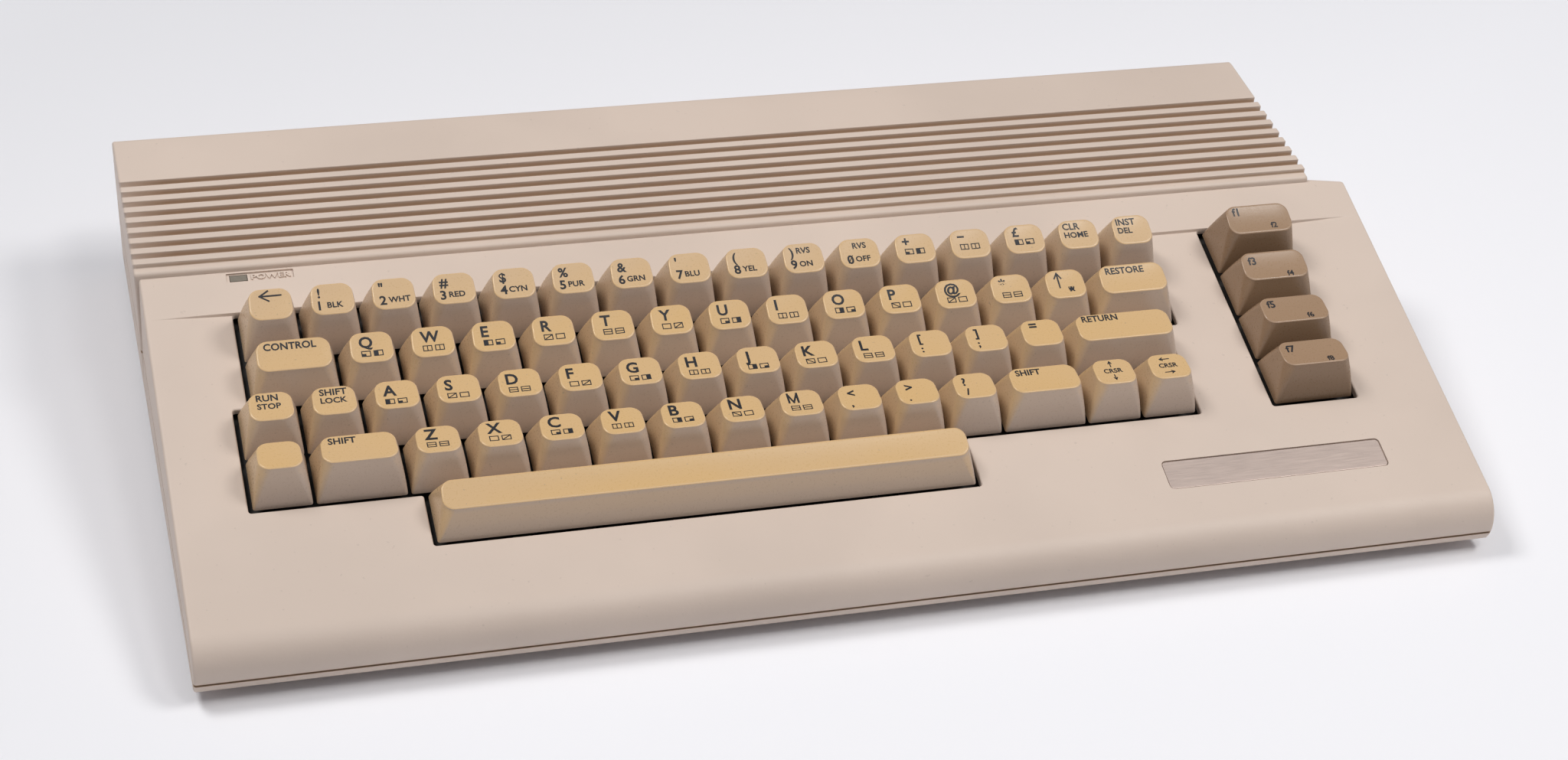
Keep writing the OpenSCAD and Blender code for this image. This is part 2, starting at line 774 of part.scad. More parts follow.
// capacitors: [x from the board's left edge, y from its rear edge, radius]
capacitors = [
    [318, 84, 5], [332, 84, 5], [318, 66, 4], [332, 66, 4], [346, 84, 6], [346, 64, 3.5], [300, 84, 3.5]
];
module board_capacitors() {
    color("#35507c") for (c = capacitors)
        translate([board_x0 + c[0], board_y1 - c[1], board_top_z]) cylinder(r = c[2], h = 2.6 * c[2]);
}

// folded sheet over the chips, standing on the board on four legs
shield_x = [board_x0 + 32, board_x0 + 290];
shield_y = [board_y1 - 84, board_y1 - 40];
shield_z = board_top_z + 9;
sheet_t = 0.6;
module heat_shield() {
    hole_pitch = 12;
    leg_w = 6;
    color("#b4b6b8") {
        difference() {
            box(shield_x, shield_y, [shield_z, shield_z + sheet_t]);
            for (x = [shield_x[0] + 14:hole_pitch:shield_x[1] - 14]) for (row = [1:3])
                translate([x, shield_y[0] + row * hole_pitch, shield_z - 1]) cylinder(r = 1.6, h = 3);
        }
        for (x = [shield_x[0], shield_x[1] - sheet_t])
            for (y = [shield_y[0], shield_y[1] - leg_w])
                box([x, x + sheet_t], [y, y + leg_w], [board_top_z, shield_z + eps]);
    }
}

modulator_d = 36;
modulator_h = 17;
foot_h_in_slot = 5.6;
modulator_face_y = rear_y - wall - 0.8;
jack_x = modulator_x + 14;
jack_r = 4.2;
jack_bore_r = 1.6;
slider_x = modulator_x - 12;
slider_travel = 3;
jack_z = board_top_z + 8;
knob_w = 3.6;
knob_h = 2.6;
foot_w = 7.6;
foot_t = 2.4;
slider_gap = 0.3;
slot_deep = 5;
module modulator_box() {
    color("#b9babb") difference() {
        union() {
            box([modulator_x - modulator_w / 2, modulator_x + modulator_w / 2],
                [modulator_face_y - modulator_d, modulator_face_y],
                [board_top_z, board_top_z + modulator_h]);
            translate([jack_x, modulator_face_y - eps, jack_z]) rotate([-90, 0, 0])
                cylinder(r = jack_r, h = 3);
        }
        translate([jack_x, modulator_face_y - 8, jack_z]) rotate([-90, 0, 0])
            cylinder(r = jack_bore_r, h = 20);
        slider_slot(knob_w, knob_h, 1);
        slider_slot(foot_w, foot_h_in_slot, -2);
    }
}

// room for a part of the slider w wide and h high, over its whole travel, up to y1 past the face
module slider_slot(w, h, y1) {
    half = (slider_travel + w) / 2 + slider_gap;
    box([slider_x - half, slider_x + half], [modulator_face_y - slot_deep, modulator_face_y + y1],
        [jack_z - h / 2 - slider_gap, jack_z + h / 2 + slider_gap]);
}

// channel slider: a knob that stands out of the box and a wider foot behind the slot
module channel_slider() {
    x = slider_x - slider_travel / 2;
    foot_y = modulator_face_y - slot_deep + slider_gap;
    color("#1f1f20") {
        box([x - knob_w / 2, x + knob_w / 2], [modulator_face_y - 2.5, modulator_face_y + 1.6],
            [jack_z - knob_h / 2, jack_z + knob_h / 2]);
        box([x - foot_w / 2, x + foot_w / 2], [foot_y, foot_y + foot_t],
            [jack_z - foot_h_in_slot / 2, jack_z + foot_h_in_slot / 2]);
    }
}

// edge connector for plug-in cartridges
module cartridge_socket() {
    w = cartridge_open[1] - 4;
    d = 16;
    h = 11;
    leg_w = 6;
    slot_w = w - 8;
    slot_h = 4.6;
    slot_d = 11;
    mid_z = board_top_z + 6.5;
    y1 = rear_y - wall - 0.6;
    color("#26262a") difference() {
        union() {
            box([cartridge_x - w / 2, cartridge_x + w / 2], [y1 - d, y1],
                [mid_z - h / 2, mid_z + h / 2]);
            for (x = [cartridge_x - w / 2, cartridge_x + w / 2 - leg_w])
                box([x, x + leg_w], [y1 - d, y1 - 4], [board_top_z, mid_z]);
        }
        box([cartridge_x - slot_w / 2, cartridge_x + slot_w / 2], [y1 - slot_d, y1 + 1],
            [mid_z - slot_h / 2, mid_z + slot_h / 2]);
    }
}

// round socket for a plug, with its mouth just inside the outer face of the wall
din_depth = 6.5;
din_setback = 0.4;
module din_socket(pins) {
    body = 16;
    body_d = 13;
    neck = wall + 1.5;
    pin_circle = 4.2;
    mouth = wall - din_setback;
    difference() {
        union() {
            box([-body / 2, body / 2], [-body_d, mouth - neck + 1], [board_top_z - din_z, body / 2]);
            translate([0, mouth, 0]) rotate([90, 0, 0]) cylinder(r = din_r, h = neck);
        }
        translate([0, mouth + 1, 0]) rotate([90, 0, 0]) cylinder(r = din_bore_r, h = din_depth + 1);
        for (i = [0:pins - 1])
            rotate([90, 135 - i * 270 / (pins - 1), 0]) translate([0, -pin_circle, 0])
                cylinder(r = 0.6, h = body_d - 2);
    }
}

module din_sockets() {
    color("#2a2a2c") {
        translate([video_x, rear_y - wall, din_z]) din_socket(5);
        translate([serial_x, rear_y - wall, din_z]) din_socket(6);
        translate([socket_x - wall, power_y, din_z]) rotate([0, 0, -90]) din_socket(4);
    }
}

// nine-way joystick sockets with a metal rim and pins that stay below the rim
module joystick_sockets() {
    rim_w = joystick_w - 5;
    rim_h = joystick_h - 1.6;
    body_d = 12;
    reach = wall - 0.4;
    face_x = socket_x - wall - 0.6;
    half = joystick_w / 2 + 3;
    rim_t = 0.6;
    color("#8d9094") for (y = joystick_ys) translate([face_x, y, joystick_z]) difference() {
        union() {
            box([-body_d, 0], [-half, half], [board_top_z - joystick_z, joystick_h / 2 + rim_t]);
            box([-eps, reach], [-rim_w / 2, rim_w / 2], [-rim_h / 2, rim_h / 2]);
        }
        box([-body_d / 2, reach + 1], [-rim_w / 2 + rim_t, rim_w / 2 - rim_t],
            [-rim_h / 2 + rim_t, rim_h / 2 - rim_t]);
    }
}

// rocker switch: body behind the wall, and the rocker on an upright pin
switch_body_w = rocker_w + 5;
switch_body_h = rocker_h + 4;
rocker_gap = 0.4;
pin_r = 1.2;
pin_out = 1.2;
rocker_x = socket_x - 4.8;
rocker_lean = 8;
module power_switch_body() {
    face_x = socket_x - wall - 0.4;
    body_d = 15;
    y_half = rocker_w / 2 + rocker_gap;
    z_half = rocker_h / 2 + rocker_gap;
    color("#1e1e1f") difference() {
        union() {
            box([face_x - body_d, face_x], [rocker_y - switch_body_w / 2, rocker_y + switch_body_w / 2],
                [switch_z - switch_body_h / 2, switch_z + switch_body_h / 2]);
            box([face_x - body_d, face_x - 3], [rocker_y - 6, rocker_y + 6], [board_top_z, switch_z]);
        }
        box([face_x - 9, face_x + 1], [rocker_y - y_half, rocker_y + y_half],
            [switch_z - z_half, switch_z + z_half]);
        translate([rocker_x, rocker_y, switch_z - z_half - pin_out])
            cylinder(r = pin_r + 0.05, h = 2 * (z_half + pin_out));
    }
}

module power_rocker() {
    color("#242425") translate([rocker_x, rocker_y, switch_z]) rotate([0, 0, -rocker_lean]) {
        translate([0, 0, -rocker_h / 2]) linear_extrude(rocker_h)
            polygon([
                [-3, -4.5], [2, -rocker_w / 2 + 0.5], [5, -rocker_w / 2 + 0.8], [4, 0],
                [5, rocker_w / 2 - 0.8], [2, rocker_w / 2 - 0.5], [-3, 4.5]
            ]);
        translate([0, 0, -rocker_h / 2 - pin_out]) cylinder(r = pin_r, h = rocker_h + 2 * pin_out);
    }
}

/* ---- leads, feet and screws ---- */

// ribbon lead from the keyboard board down to the main board
header_y = board_y0 + 12;
header_x = board_x0 + 12;
ribbon_w = 22;
ribbon_t = 1;
module keyboard_cable() {
    under_z = deck_top(header_y) + keyboard_under / cos(tilt);
    color("#9aa0a6") difference() {
        box([header_x, header_x + ribbon_w], [header_y - ribbon_t / 2, header_y + ribbon_t / 2],
            [board_top_z, under_z + 2]);
        on_deck() box([-keys_left, main_units * pitch], [-pitch, rows * pitch + 20], [keyboard_under, 0]);
    }
}

// two-wire lead from the lamp to the main board
module lamp_lead() {
    lead_r = 0.8;
    lead_gap = 0.25;
    foot = lamp_foot();
    color("#8b2f2b") for (side = [-1, 1]) translate([foot[0] + side, foot[1], board_top_z])
        cylinder(r = lead_r, h = foot[2] - lead_gap - board_top_z);
}

// where the lamp's body ends, in the frame of the whole object
function lamp_foot() = let (y = lamp_y + lamp_d / 2, n = lamp_body_n) [
    keys_x + lamp_x + lamp_w / 2,
    deck_y + y * cos(tilt) - n * sin(tilt),
    deck_z + y * sin(tilt) + n * cos(tilt)
];

module rubber_feet() {
    color("#2c2a29") for (p = feet_xy)
        translate([p[0], p[1], 0]) cylinder(r = foot_dia / 2 - 0.2, h = foot_h + foot_seat);
}

module screw(length) {
    translate([0, 0, -head_h]) cylinder(r = head_r, h = head_h);
    translate([0, 0, -eps]) cylinder(r = pilot_r - thread_gap, h = length);
}

module screws() {
    color("#8f9296") {
        for (p = case_screws_xy) translate([p[0], p[1], foot_h + screw_sink])
            screw(min(seam_z(p[1]) + 7, deck_top(p[1]) - 2 * wall) - foot_h - screw_sink);
        for (p = board_posts) translate([p[0], p[1], board_top_z]) rotate([180, 0, 0])
            screw(board_t + post_h - 1);
        on_deck() for (p = keyboard_posts) translate([p[0], p[1], plate_n - plate_t])
            screw(plate_t + 2.6);
        on_deck() for (p = board_pillars) translate([p[0], p[1], keyboard_under]) screw(board_t + 3);
    }
}

top_case();
bottom_case();
nameplate();
power_lamp();
lamp_lead();
keyboard_frame();
keyboard_board();
keyboard_cable();
key_springs();
shift_lock_switch();
space_bar_wire();
main_board();
board_chips();
board_capacitors();
heat_shield();
modulator_box();
channel_slider();
cartridge_socket();
din_sockets();
joystick_sockets();
power_switch_body();
power_rocker();
rubber_feet();
screws();
number_row_keys();
punctuation_keys();
command_keys();
function_keys();
space_bar();
return_key();
left_shift_key();
right_shift_key();
shift_lock_key();
letter_key("a");  // key_a
letter_key("b");  // key_b
letter_key("c");  // key_c
letter_key("d");  // key_d
letter_key("e");  // key_e
letter_key("f");  // key_f
letter_key("g");  // key_g
letter_key("h");  // key_h
letter_key("i");  // key_i
letter_key("j");  // key_j
letter_key("k");  // key_k
letter_key("l");  // key_l
letter_key("m");  // key_m
letter_key("n");  // key_n
letter_key("o");  // key_o
letter_key("p");  // key_p
letter_key("q");  // key_q
letter_key("r");  // key_r
letter_key("s");  // key_s
letter_key("t");  // key_t
letter_key("u");  // key_u
letter_key("v");  // key_v
letter_key("w");  // key_w
letter_key("x");  // key_x
letter_key("y");  // key_y
letter_key("z");  // key_z
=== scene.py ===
import json
import math

import bmesh
import bpy
from bpy.props import FloatProperty, FloatVectorProperty, PointerProperty
from mathutils import Matrix, Vector


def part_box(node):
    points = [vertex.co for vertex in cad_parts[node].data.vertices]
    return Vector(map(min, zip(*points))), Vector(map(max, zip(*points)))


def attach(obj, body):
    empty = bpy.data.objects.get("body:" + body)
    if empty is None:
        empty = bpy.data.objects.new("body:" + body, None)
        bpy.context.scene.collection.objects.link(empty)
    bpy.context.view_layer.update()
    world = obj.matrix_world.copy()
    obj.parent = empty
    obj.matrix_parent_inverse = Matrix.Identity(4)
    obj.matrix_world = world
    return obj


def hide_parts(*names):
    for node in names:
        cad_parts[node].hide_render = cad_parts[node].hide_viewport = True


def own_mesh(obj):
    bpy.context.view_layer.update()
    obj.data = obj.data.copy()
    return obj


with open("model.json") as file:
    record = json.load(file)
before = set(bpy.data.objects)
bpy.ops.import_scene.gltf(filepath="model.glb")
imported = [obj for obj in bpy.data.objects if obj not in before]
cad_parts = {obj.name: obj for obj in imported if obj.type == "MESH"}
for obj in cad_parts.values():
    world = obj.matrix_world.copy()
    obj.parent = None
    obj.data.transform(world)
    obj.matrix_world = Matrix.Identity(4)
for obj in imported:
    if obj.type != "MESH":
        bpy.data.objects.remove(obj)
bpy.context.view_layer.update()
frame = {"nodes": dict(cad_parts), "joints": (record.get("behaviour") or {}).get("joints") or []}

bl_info = {
    "name": "Home computer finish",
    "version": (1, 0, 0),
    "blender": (4, 5, 0),
    "location": "3D View > Sidebar > Computer",
    "description": "Builds the visible pieces and finishes of a home computer around its packed model",
    "category": "Object",
}

# All sizes below are in millimetres and degrees; a mesh is turned to metres when it is made.
MM = 0.001


def box_mm(node):
    """Lowest and highest corner of a node, in millimetres."""
    low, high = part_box(node)
    return low / MM, high / MM


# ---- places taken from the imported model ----
CASE_LOW, CASE_HIGH = box_mm("bottom_case")
LEFT, RIGHT = CASE_LOW.x, CASE_HIGH.x
FRONT, REAR = CASE_LOW.y, CASE_HIGH.y
FOOT_H = CASE_LOW.z
REAR_Z = box_mm("top_case")[1].z
PRESS = {j["child"]: j for j in frame["joints"] if j["name"].endswith("_press")}
PRESS_AXIS = Vector(PRESS["space_bar"]["axis"])
TILT = math.degrees(math.atan2(PRESS_AXIS.y, -PRESS_AXIS.z))
TRAVEL = PRESS["space_bar"]["range_m"][1] / MM
COS, SIN = math.cos(math.radians(TILT)), math.sin(math.radians(TILT))

# ---- case ----
WALL = 2.5
# origin of the deck's frame: the front left corner of the rows of one-unit keys
DECK_Y, DECK_Z = FRONT + 49.6, 30.0
NOSE_R = 11.0
REAR_R = 4.0
NOSE_Y = FRONT + NOSE_R
# the step up to the ribs, and the ledge in it
STEP_Y = REAR - 76.1
LEDGE_D, LEDGE_DROP = 3.35, 1.65
# the rear end of the wedge, and how far it comes forward per millimetre past the sockets' wall
SHOULDER_Y = STEP_Y + 2.4
SHOULDER_SLANT = 0.17
# how far the left end stands in at its foot, and how far the right end leans in at its top
LEFT_INSET = 1.5
RIGHT_LEAN = 1.0
SEAM_FRONT_Z, SEAM_REAR_Z = 8.8, 29.0
SEAM_GAP = 0.8
BAY_INSET, BAY_D, BAY_ROOF_Z = 12.5, 120.0, 29.0
SOCKET_X = RIGHT - BAY_INSET
BAY_Y = REAR - BAY_D
GROOVES = 8
GROOVE_PITCH = 5.75
GROOVE_W = 2.85
GROOVE_DEPTH = 2.2
# from the rear edge to the middle of the last groove
REAR_BAND = 28.2
# how far a cutter reaches past the surface that it opens
PAST = 5

# ---- keys, in the deck's frame: x to the right, s up the slope, n out of it ----
PITCH = 19.05
KEYS_X = LEFT + 29.5
ROW_SHIFT = PITCH / 4
MAIN_UNITS = 16
FUNCTION_X = MAIN_UNITS * PITCH + 22.4
FUNCTION_UNITS = 1.5
SPACE_START, SPACE_UNITS = 2.5, 9
SPACE_AT = ((SPACE_START + SPACE_UNITS / 2) * PITCH, -PITCH / 2)
OPENING_GAP = 0.9
CAP_GAP = 1.05
CAP_TOP_W, CAP_TOP_D = 12.2, 10.4
CAP_NARROW = 0.8
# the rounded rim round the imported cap's top face
RIM_W, RIM_D = 1.6, 0.8
CAP_WALL = 1.3
CAP_BASE_N = -1.0
CAP_CEILING = 1.4
# height of the top face, how far it sits back, and its slope, for rows 1 to 4 from the rear
ROW_FORMS = ((15.0, 0.9, 10.0), (11.8, 1.8, 7.0), (11.9, 1.3, -2.0), (11.8, 1.7, -7.0))
SPACE_FORM = (9.6, 1.2, 10.0)
SPACE_TAPER = 5.4
# the top of the keyboard frame's plate, and its thickness
PLATE_N, FRAME_T = -6.0, 2.0
FLANGE_N = 2.8
FLANGE_T = 1.0
STEM_W = 4.4
STEM_END_N = -10.5
SPRING_R = 4.5
SPRING_WIRE = 0.5

# ---- nameplate and lamp, in the deck's frame ----
# left, front, width and depth of the recess
NAMEPLATE = (280.6, -29.5, 76.4, 11.3)
NAMEPLATE_R = 1.6
NAMEPLATE_SINK = 1.0
LAMP_X, LAMP_S = 0.0, 4 * PITCH + 14.4
LAMP_W, LAMP_D = 5.7, 2.7
# left and right end of the recess for the lamp and its word
LAMP_RECESS = (-1.0, 20.2)
LAMP_SINK = 0.6

# ---- boards, sockets, switch, feet and screws ----
BOARD_T = 1.6
BOARD_Z = FOOT_H + WALL + 4.5
BOARD_TOP = BOARD_Z + BOARD_T
BOARD_X0, BOARD_X1 = LEFT + WALL + 2, SOCKET_X - WALL - 2
BOARD_Y1 = REAR - WALL - 1
BOARD_Y0 = BOARD_Y1 - 146
CARTRIDGE_X, MODULATOR_X, VIDEO_X = SOCKET_X - 49, SOCKET_X - 120, SOCKET_X - 162
SERIAL_X, TAPE_X, USER_X = SOCKET_X - 187, SOCKET_X - 223, SOCKET_X - 298
DIN_Z, DIN_HOLE_R, DIN_BORE_R = BOARD_TOP + 9, 8.1, 6.75
POWER_Y = BAY_Y + 107.5
JOYSTICK_YS = (BAY_Y + 25, BAY_Y + 58)
JOYSTICK_Z = BOARD_TOP + 6.5
ROCKER_Y, ROCKER_Z = BAY_Y + 87, BOARD_TOP + 8
# middle, width, bottom and top of each opening in the rear wall
REAR_OPENINGS = (
    (CARTRIDGE_X, 66, BOARD_TOP + 0.5, BOARD_TOP + 13),
    (MODULATOR_X, 50, BOARD_TOP + 1, BOARD_TOP + 15),
    (TAPE_X, 34, FOOT_H + WALL + 0.5, BOARD_TOP + 6),
    (USER_X, 64, FOOT_H + WALL + 0.5, BOARD_TOP + 6),
)
# middle in y and z, and half the size, of each opening in the bay's wall
BAY_OPENINGS = (
    *((y, JOYSTICK_Z, 12.5, 5.25) for y in JOYSTICK_YS),
    (ROCKER_Y, ROCKER_Z, 9, 6.5),
)
OPENING_R = 1.2
CASE_SCREWS = [(x, FRONT + 19) for x in (LEFT + 22, 0, RIGHT - 22)]
CASE_SCREWS += [(LEFT + 10, REAR - 7.5), ((CARTRIDGE_X - 33 + MODULATOR_X + 28) / 2, REAR - 7.5)]
SCREW_SINK = 1.2
BOSS_R = 4
FEET = [(x, y) for x in (LEFT + 34, RIGHT - 34) for y in (FRONT + 34, REAR - 22)]
FOOT_SINK = 0.8
BOARD_POSTS = [(x, y) for x in (BOARD_X0 + 26, (BOARD_X0 + BOARD_X1) / 2, BOARD_X1 - 26)
               for y in (BOARD_Y0 + 6, BOARD_Y1 - 22)]
# the keyboard frame's screws: along its sides, in the strip before the function keys, and in front
SIDE_LEFT, SIDE_RIGHT = -29.5 + WALL + 10, FUNCTION_X + FUNCTION_UNITS * PITCH + 9
STRIP_MID = MAIN_UNITS * PITCH + 11.2
KEYBOARD_POSTS = [(x, s * PITCH) for x in (SIDE_LEFT, SIDE_RIGHT, STRIP_MID) for s in (0.6, 3.4)]
KEYBOARD_POSTS += [(x * PITCH, -0.55 * PITCH) for x in (1, 13.5)]
PILLAR_XS = [1 + i * 3.92 * PITCH for i in range(5)] + [STRIP_MID, SIDE_RIGHT - 3]
BOARD_PILLARS = [(x, 2 * PITCH) for x in PILLAR_XS]
KEYBOARD_UNDER_N = STEM_END_N - TRAVEL - 0.3 - BOARD_T

DECK = Matrix.Translation((KEYS_X, DECK_Y, DECK_Z)) @ Matrix.Rotation(math.radians(TILT), 4, "X")
DECK_UP = (0.0, -SIN, COS)
TO_REAR = Matrix.Rotation(math.radians(-90), 4, "X")
TO_RIGHT = Matrix.Rotation(math.radians(90), 4, "Y")


def deck_top(y):
    """Height of the deck's plane at y."""
    return DECK_Z + (y - DECK_Y) * math.tan(math.radians(TILT))


def seam_z(y):
    """Height of the upper edge of the seam at y."""
    return SEAM_FRONT_Z + (y - FRONT) * (SEAM_REAR_Z - SEAM_FRONT_Z) / (REAR - FRONT)


NOSE_Z = deck_top(NOSE_Y) - NOSE_R / COS


def to(x, y, z=0.0):
    """The move by x, y and z."""
    return Matrix.Translation((x, y, z))


def linear(hex_colour):
    """An sRGB hex colour as linear red, green and blue."""
    parts = [int(hex_colour[i:i + 2], 16) / 255 for i in (1, 3, 5)]
    return [c / 12.92 if c <= 0.04045 else ((c + 0.055) / 1.055) ** 2.4 for c in parts]


def steps(first, last, count):
    """count + 1 values from first to last."""
    return [first + (last - first) * i / count for i in range(count + 1)]


def smooth(t):
    """0 below 0, 1 above 1, and an even S between."""
    t = min(max(t, 0.0), 1.0)
    return t * t * (3 - 2 * t)


# ---- settings ----
def colour(name, text, default):
    return FloatVectorProperty(name=name, description=text, subtype="COLOR", size=3, min=0, max=1,
                               default=linear(default))


def length(name, text, default_mm):
    return FloatProperty(name=name, description=text, unit="LENGTH", min=0, default=default_mm * MM)


class CaseSettings(bpy.types.PropertyGroup):
    plastic: colour("Plastic", "Colour of the moulded case", "#D6C5B8")
    side_round: length("Side rounding", "Radius of the edges along both sides", 0.9)
    rib_round: length("Rib rounding", "Radius of the ribs' edges", 0.35)
    rim: length("Opening rim", "Radius of the edge of the key openings", 0.6)
    dish: length("Dish depth", "How far the deck sinks round the rear of the keys", 1.0)


class KeySettings(bpy.types.PropertyGroup):
    cream: colour("Cream caps", "Colour of the caps' sides", "#CCB9AA")
    sunned: colour("Aged tops", "Colour of the caps' tops, yellowed by light", "#DAB57F")
    brown: colour("Function caps", "Colour of the function keys", "#A6886C")
    ink: colour("Legend ink", "Colour of the printed legends", "#232429")
    edge: length("Edge rounding", "Radius of the edge round the top of a cap", 0.65)
    corner: length("Corner radius", "Corner radius of the top of a cap, seen from above", 3.6)
    dish: length("Top dish", "Depth of the hollow in the top of a cap", 0.35)


class StageSettings(bpy.types.PropertyGroup):
    floor: colour("Floor", "Colour of the floor and backdrop", "#F9FAFF")
    key_power: FloatProperty(name="Main light", description="Power of the large light overhead",
                             subtype="POWER", min=0, default=9.7)
    fill: FloatProperty(name="Fill", description="Strength of the even light from all round", min=0,
                        default=0.42)


SETTINGS = {"case_settings": CaseSettings, "key_settings": KeySettings, "stage_settings": StageSettings}


# ---- mesh code ----
def put_in_scene(name, data):
    """A new object in the scene."""
    made = bpy.data.objects.new(name, data)
    bpy.context.scene.collection.objects.link(made)
    return made


class Shape:
    """Points in millimetres, and faces with the number of their finish."""

    def __init__(self):
        self.points, self.faces, self.finishes = [], [], []

    def loft(self, rings, finish=0, ends=(True, True)):
        """Skin over rings with the same number of points, closed at the ends."""
        first, count = len(self.points), len(rings[0])
        for ring in rings:
            self.points += [Vector(p) for p in ring]
        for k in range(len(rings) - 1):
            for i in range(count):
                a, b = first + k * count + i, first + k * count + (i + 1) % count
                self.face((a, b, b + count, a + count), finish)
        last = first + (len(rings) - 1) * count
        if ends[0]:
            self.face(range(first + count - 1, first - 1, -1), finish)
        if ends[1]:
            self.face(range(last, last + count), finish)
        return self

    def face(self, corners, finish=0):
        self.faces.append(tuple(corners))
        self.finishes.append(finish)

    def prism(self, outline, low, high, finish=0):
        """An outline in x and y, raised from low to high."""
        return self.loft([[(x, y, z) for x, y in outline] for z in (low, high)], finish)

    def box(self, low, high, finish=0):
        return self.prism([(low[0], low[1]), (high[0], low[1]), (high[0], high[1]), (low[0], high[1])],
                          low[2], high[2], finish)

    def moved(self, matrix):
        self.points = [matrix @ p for p in self.points]
        return self

    def join(self, other):
        first = len(self.points)
        self.points += other.points
        for corners, finish in zip(other.faces, other.finishes):
            self.face([first + c for c in corners], finish)
        return self

    def piece(self, name, finishes=()):
        """The shape as an object, with its faces turned outwards."""
        mesh = bpy.data.meshes.new(name)
        mesh.from_pydata([p * MM for p in self.points], [], self.faces)
        for finish in finishes:
            mesh.materials.append(finish)
        mesh.polygons.foreach_set("material_index", self.finishes)
        work = bmesh.new()
        work.from_mesh(mesh)
        bmesh.ops.recalc_face_normals(work, faces=work.faces)
        work.to_mesh(mesh)
        work.free()
        return put_in_scene(name, mesh)


def finished_mesh(piece):
    """The mesh that the piece's curve or modifiers give."""
    bpy.context.view_layer.update()
    return bpy.data.meshes.new_from_object(piece.evaluated_get(bpy.context.evaluated_depsgraph_get()))


def bake_modifiers(piece):
    """Applies the piece's modifiers to its mesh."""
    finished = finished_mesh(piece)
    piece.modifiers.clear()
    piece.data = finished
    return piece


def carve(piece, tool, how="DIFFERENCE"):
    """Cuts the tool away, joins it on, or keeps what both share, and deletes the tool."""
    cut = piece.modifiers.new("cut", "BOOLEAN")
    cut.operation, cut.object, cut.solver = how, tool, "MANIFOLD"
    bake_modifiers(piece)
    bpy.data.objects.remove(tool)
    return piece


def shade(piece, angle=32):
    """Smooth faces with sharp edges above the angle, and normals led by the large faces."""
    piece.data.polygons.foreach_set("use_smooth", [True] * len(piece.data.polygons))
    piece.data.set_sharp_from_angle(angle=math.radians(angle))
    weighted = piece.modifiers.new("weighted", "WEIGHTED_NORMAL")
    weighted.keep_sharp = True
    return bake_modifiers(piece)


def arc(centre, radius, first, last, count):
    """Points on a circle between two angles."""
    angles = [math.radians(a) for a in steps(first, last, count)]
    return [(centre[0] + radius * math.cos(a), centre[1] + radius * math.sin(a)) for a in angles]


def fillet(before, corner, after, radius, count=4):
    """An arc in place of a corner, tangent to both of its sides."""
    corner = Vector(corner)
    one, two = (Vector(before) - corner).normalized(), (Vector(after) - corner).normalized()
    half = one.angle(two) / 2
    centre = corner + (one + two).normalized() * (radius / math.sin(half))
    start = corner + one * (radius / math.tan(half)) - centre
    turn = (corner + two * (radius / math.tan(half)) - centre).angle_signed(start)
    return [tuple(centre + Matrix.Rotation(turn * i / count, 2) @ start) for i in range(count + 1)]


def rounded(corners, radii, count=4):
    """A closed outline with each corner rounded by its own radius; 0 keeps the corner."""
    outline = []
    for i, (corner, radius) in enumerate(zip(corners, radii)):
        if radius <= 0:
            outline.append(tuple(corner))
        else:
            outline += fillet(corners[i - 1], corner, corners[(i + 1) % len(corners)], radius, count)
    return outline


def rounded_box(low, high, radius, count=4):
    """A rectangle between two corners, rounded."""
    (x0, y0), (x1, y1) = low, high
    return rounded([(x0, y0), (x1, y0), (x1, y1), (x0, y1)], [radius] * 4, count)


def grown(corners, by):
    """A square-cornered outline, given anticlockwise, moved outwards all round."""
    moved = []
    for i, corner in enumerate(corners):
        before, after = Vector(corners[i - 1]), Vector(corners[(i + 1) % len(corners)])
        into, out = (Vector(corner) - before).normalized(), (after - Vector(corner)).normalized()
        moved.append((corner[0] + by * (into.y + out.y), corner[1] - by * (into.x + out.x)))
    return moved


def turning(corners, i):
    """1 where an anticlockwise outline turns left, -1 where it turns right."""
    before, corner, after = (Vector(corners[(i + k) % len(corners)]) for k in (-1, 0, 1))
    return 1 if (corner - before).cross(after - corner) > 0 else -1


def disc(radius, z, count=32):
    """A circle of points at height z."""
    return [(x, y, z) for x, y in arc((0, 0), radius, 0, 360, count)[:-1]]


def turned(profile, count=32):
    """A closed turned body: rings of (radius, height) from one end to the other."""
    return Shape().loft([disc(r, z, count) for r, z in profile])


def rod(radius, low, high, count=24):
    """An upright cylinder between two heights."""
    return turned([(radius, low), (radius, high)], count)


# ---- finishes ----
# a Mix node's sockets for colours, by number because several share a name, and its colour output
SHARE, ONE, TWO, MIXED = 0, 6, 7, 2
ABS_IOR = 1.53
ACRYLIC_IOR = 1.49


def add_node(tree, kind, sockets=None, out=0, **settings):
    """Adds a shader node and gives one of its outputs. sockets sets its inputs, by name or number,
    to a value or to another node's output; a colour has three parts."""
    node = tree.nodes.new("ShaderNode" + kind)
    for name, value in settings.items():
        setattr(node, name, value)
    for name, value in (sockets or {}).items():
        socket = node.inputs[name]
        if isinstance(value, bpy.types.NodeSocket):
            tree.links.new(value, socket)
        elif socket.type == "RGBA":
            socket.default_value = [*value, 1.0]
        else:
            socket.default_value = value
    return node.outputs[out] if node.outputs else None


def toned(rgb, factor):
    """A colour made darker or lighter."""
    return [min(c * factor, 1) for c in rgb]


def new_finish(name):
    """An empty material, its tree, and the place of each point on the piece in millimetres."""
    material = bpy.data.materials.new(name)
    material.use_nodes = True
    tree = material.node_tree
    tree.nodes.clear()
    metres = add_node(tree, "TexCoord", out="Object")
    return material, tree, add_node(tree, "VectorMath", {0: metres, "Scale": 1 / MM}, operation="SCALE")


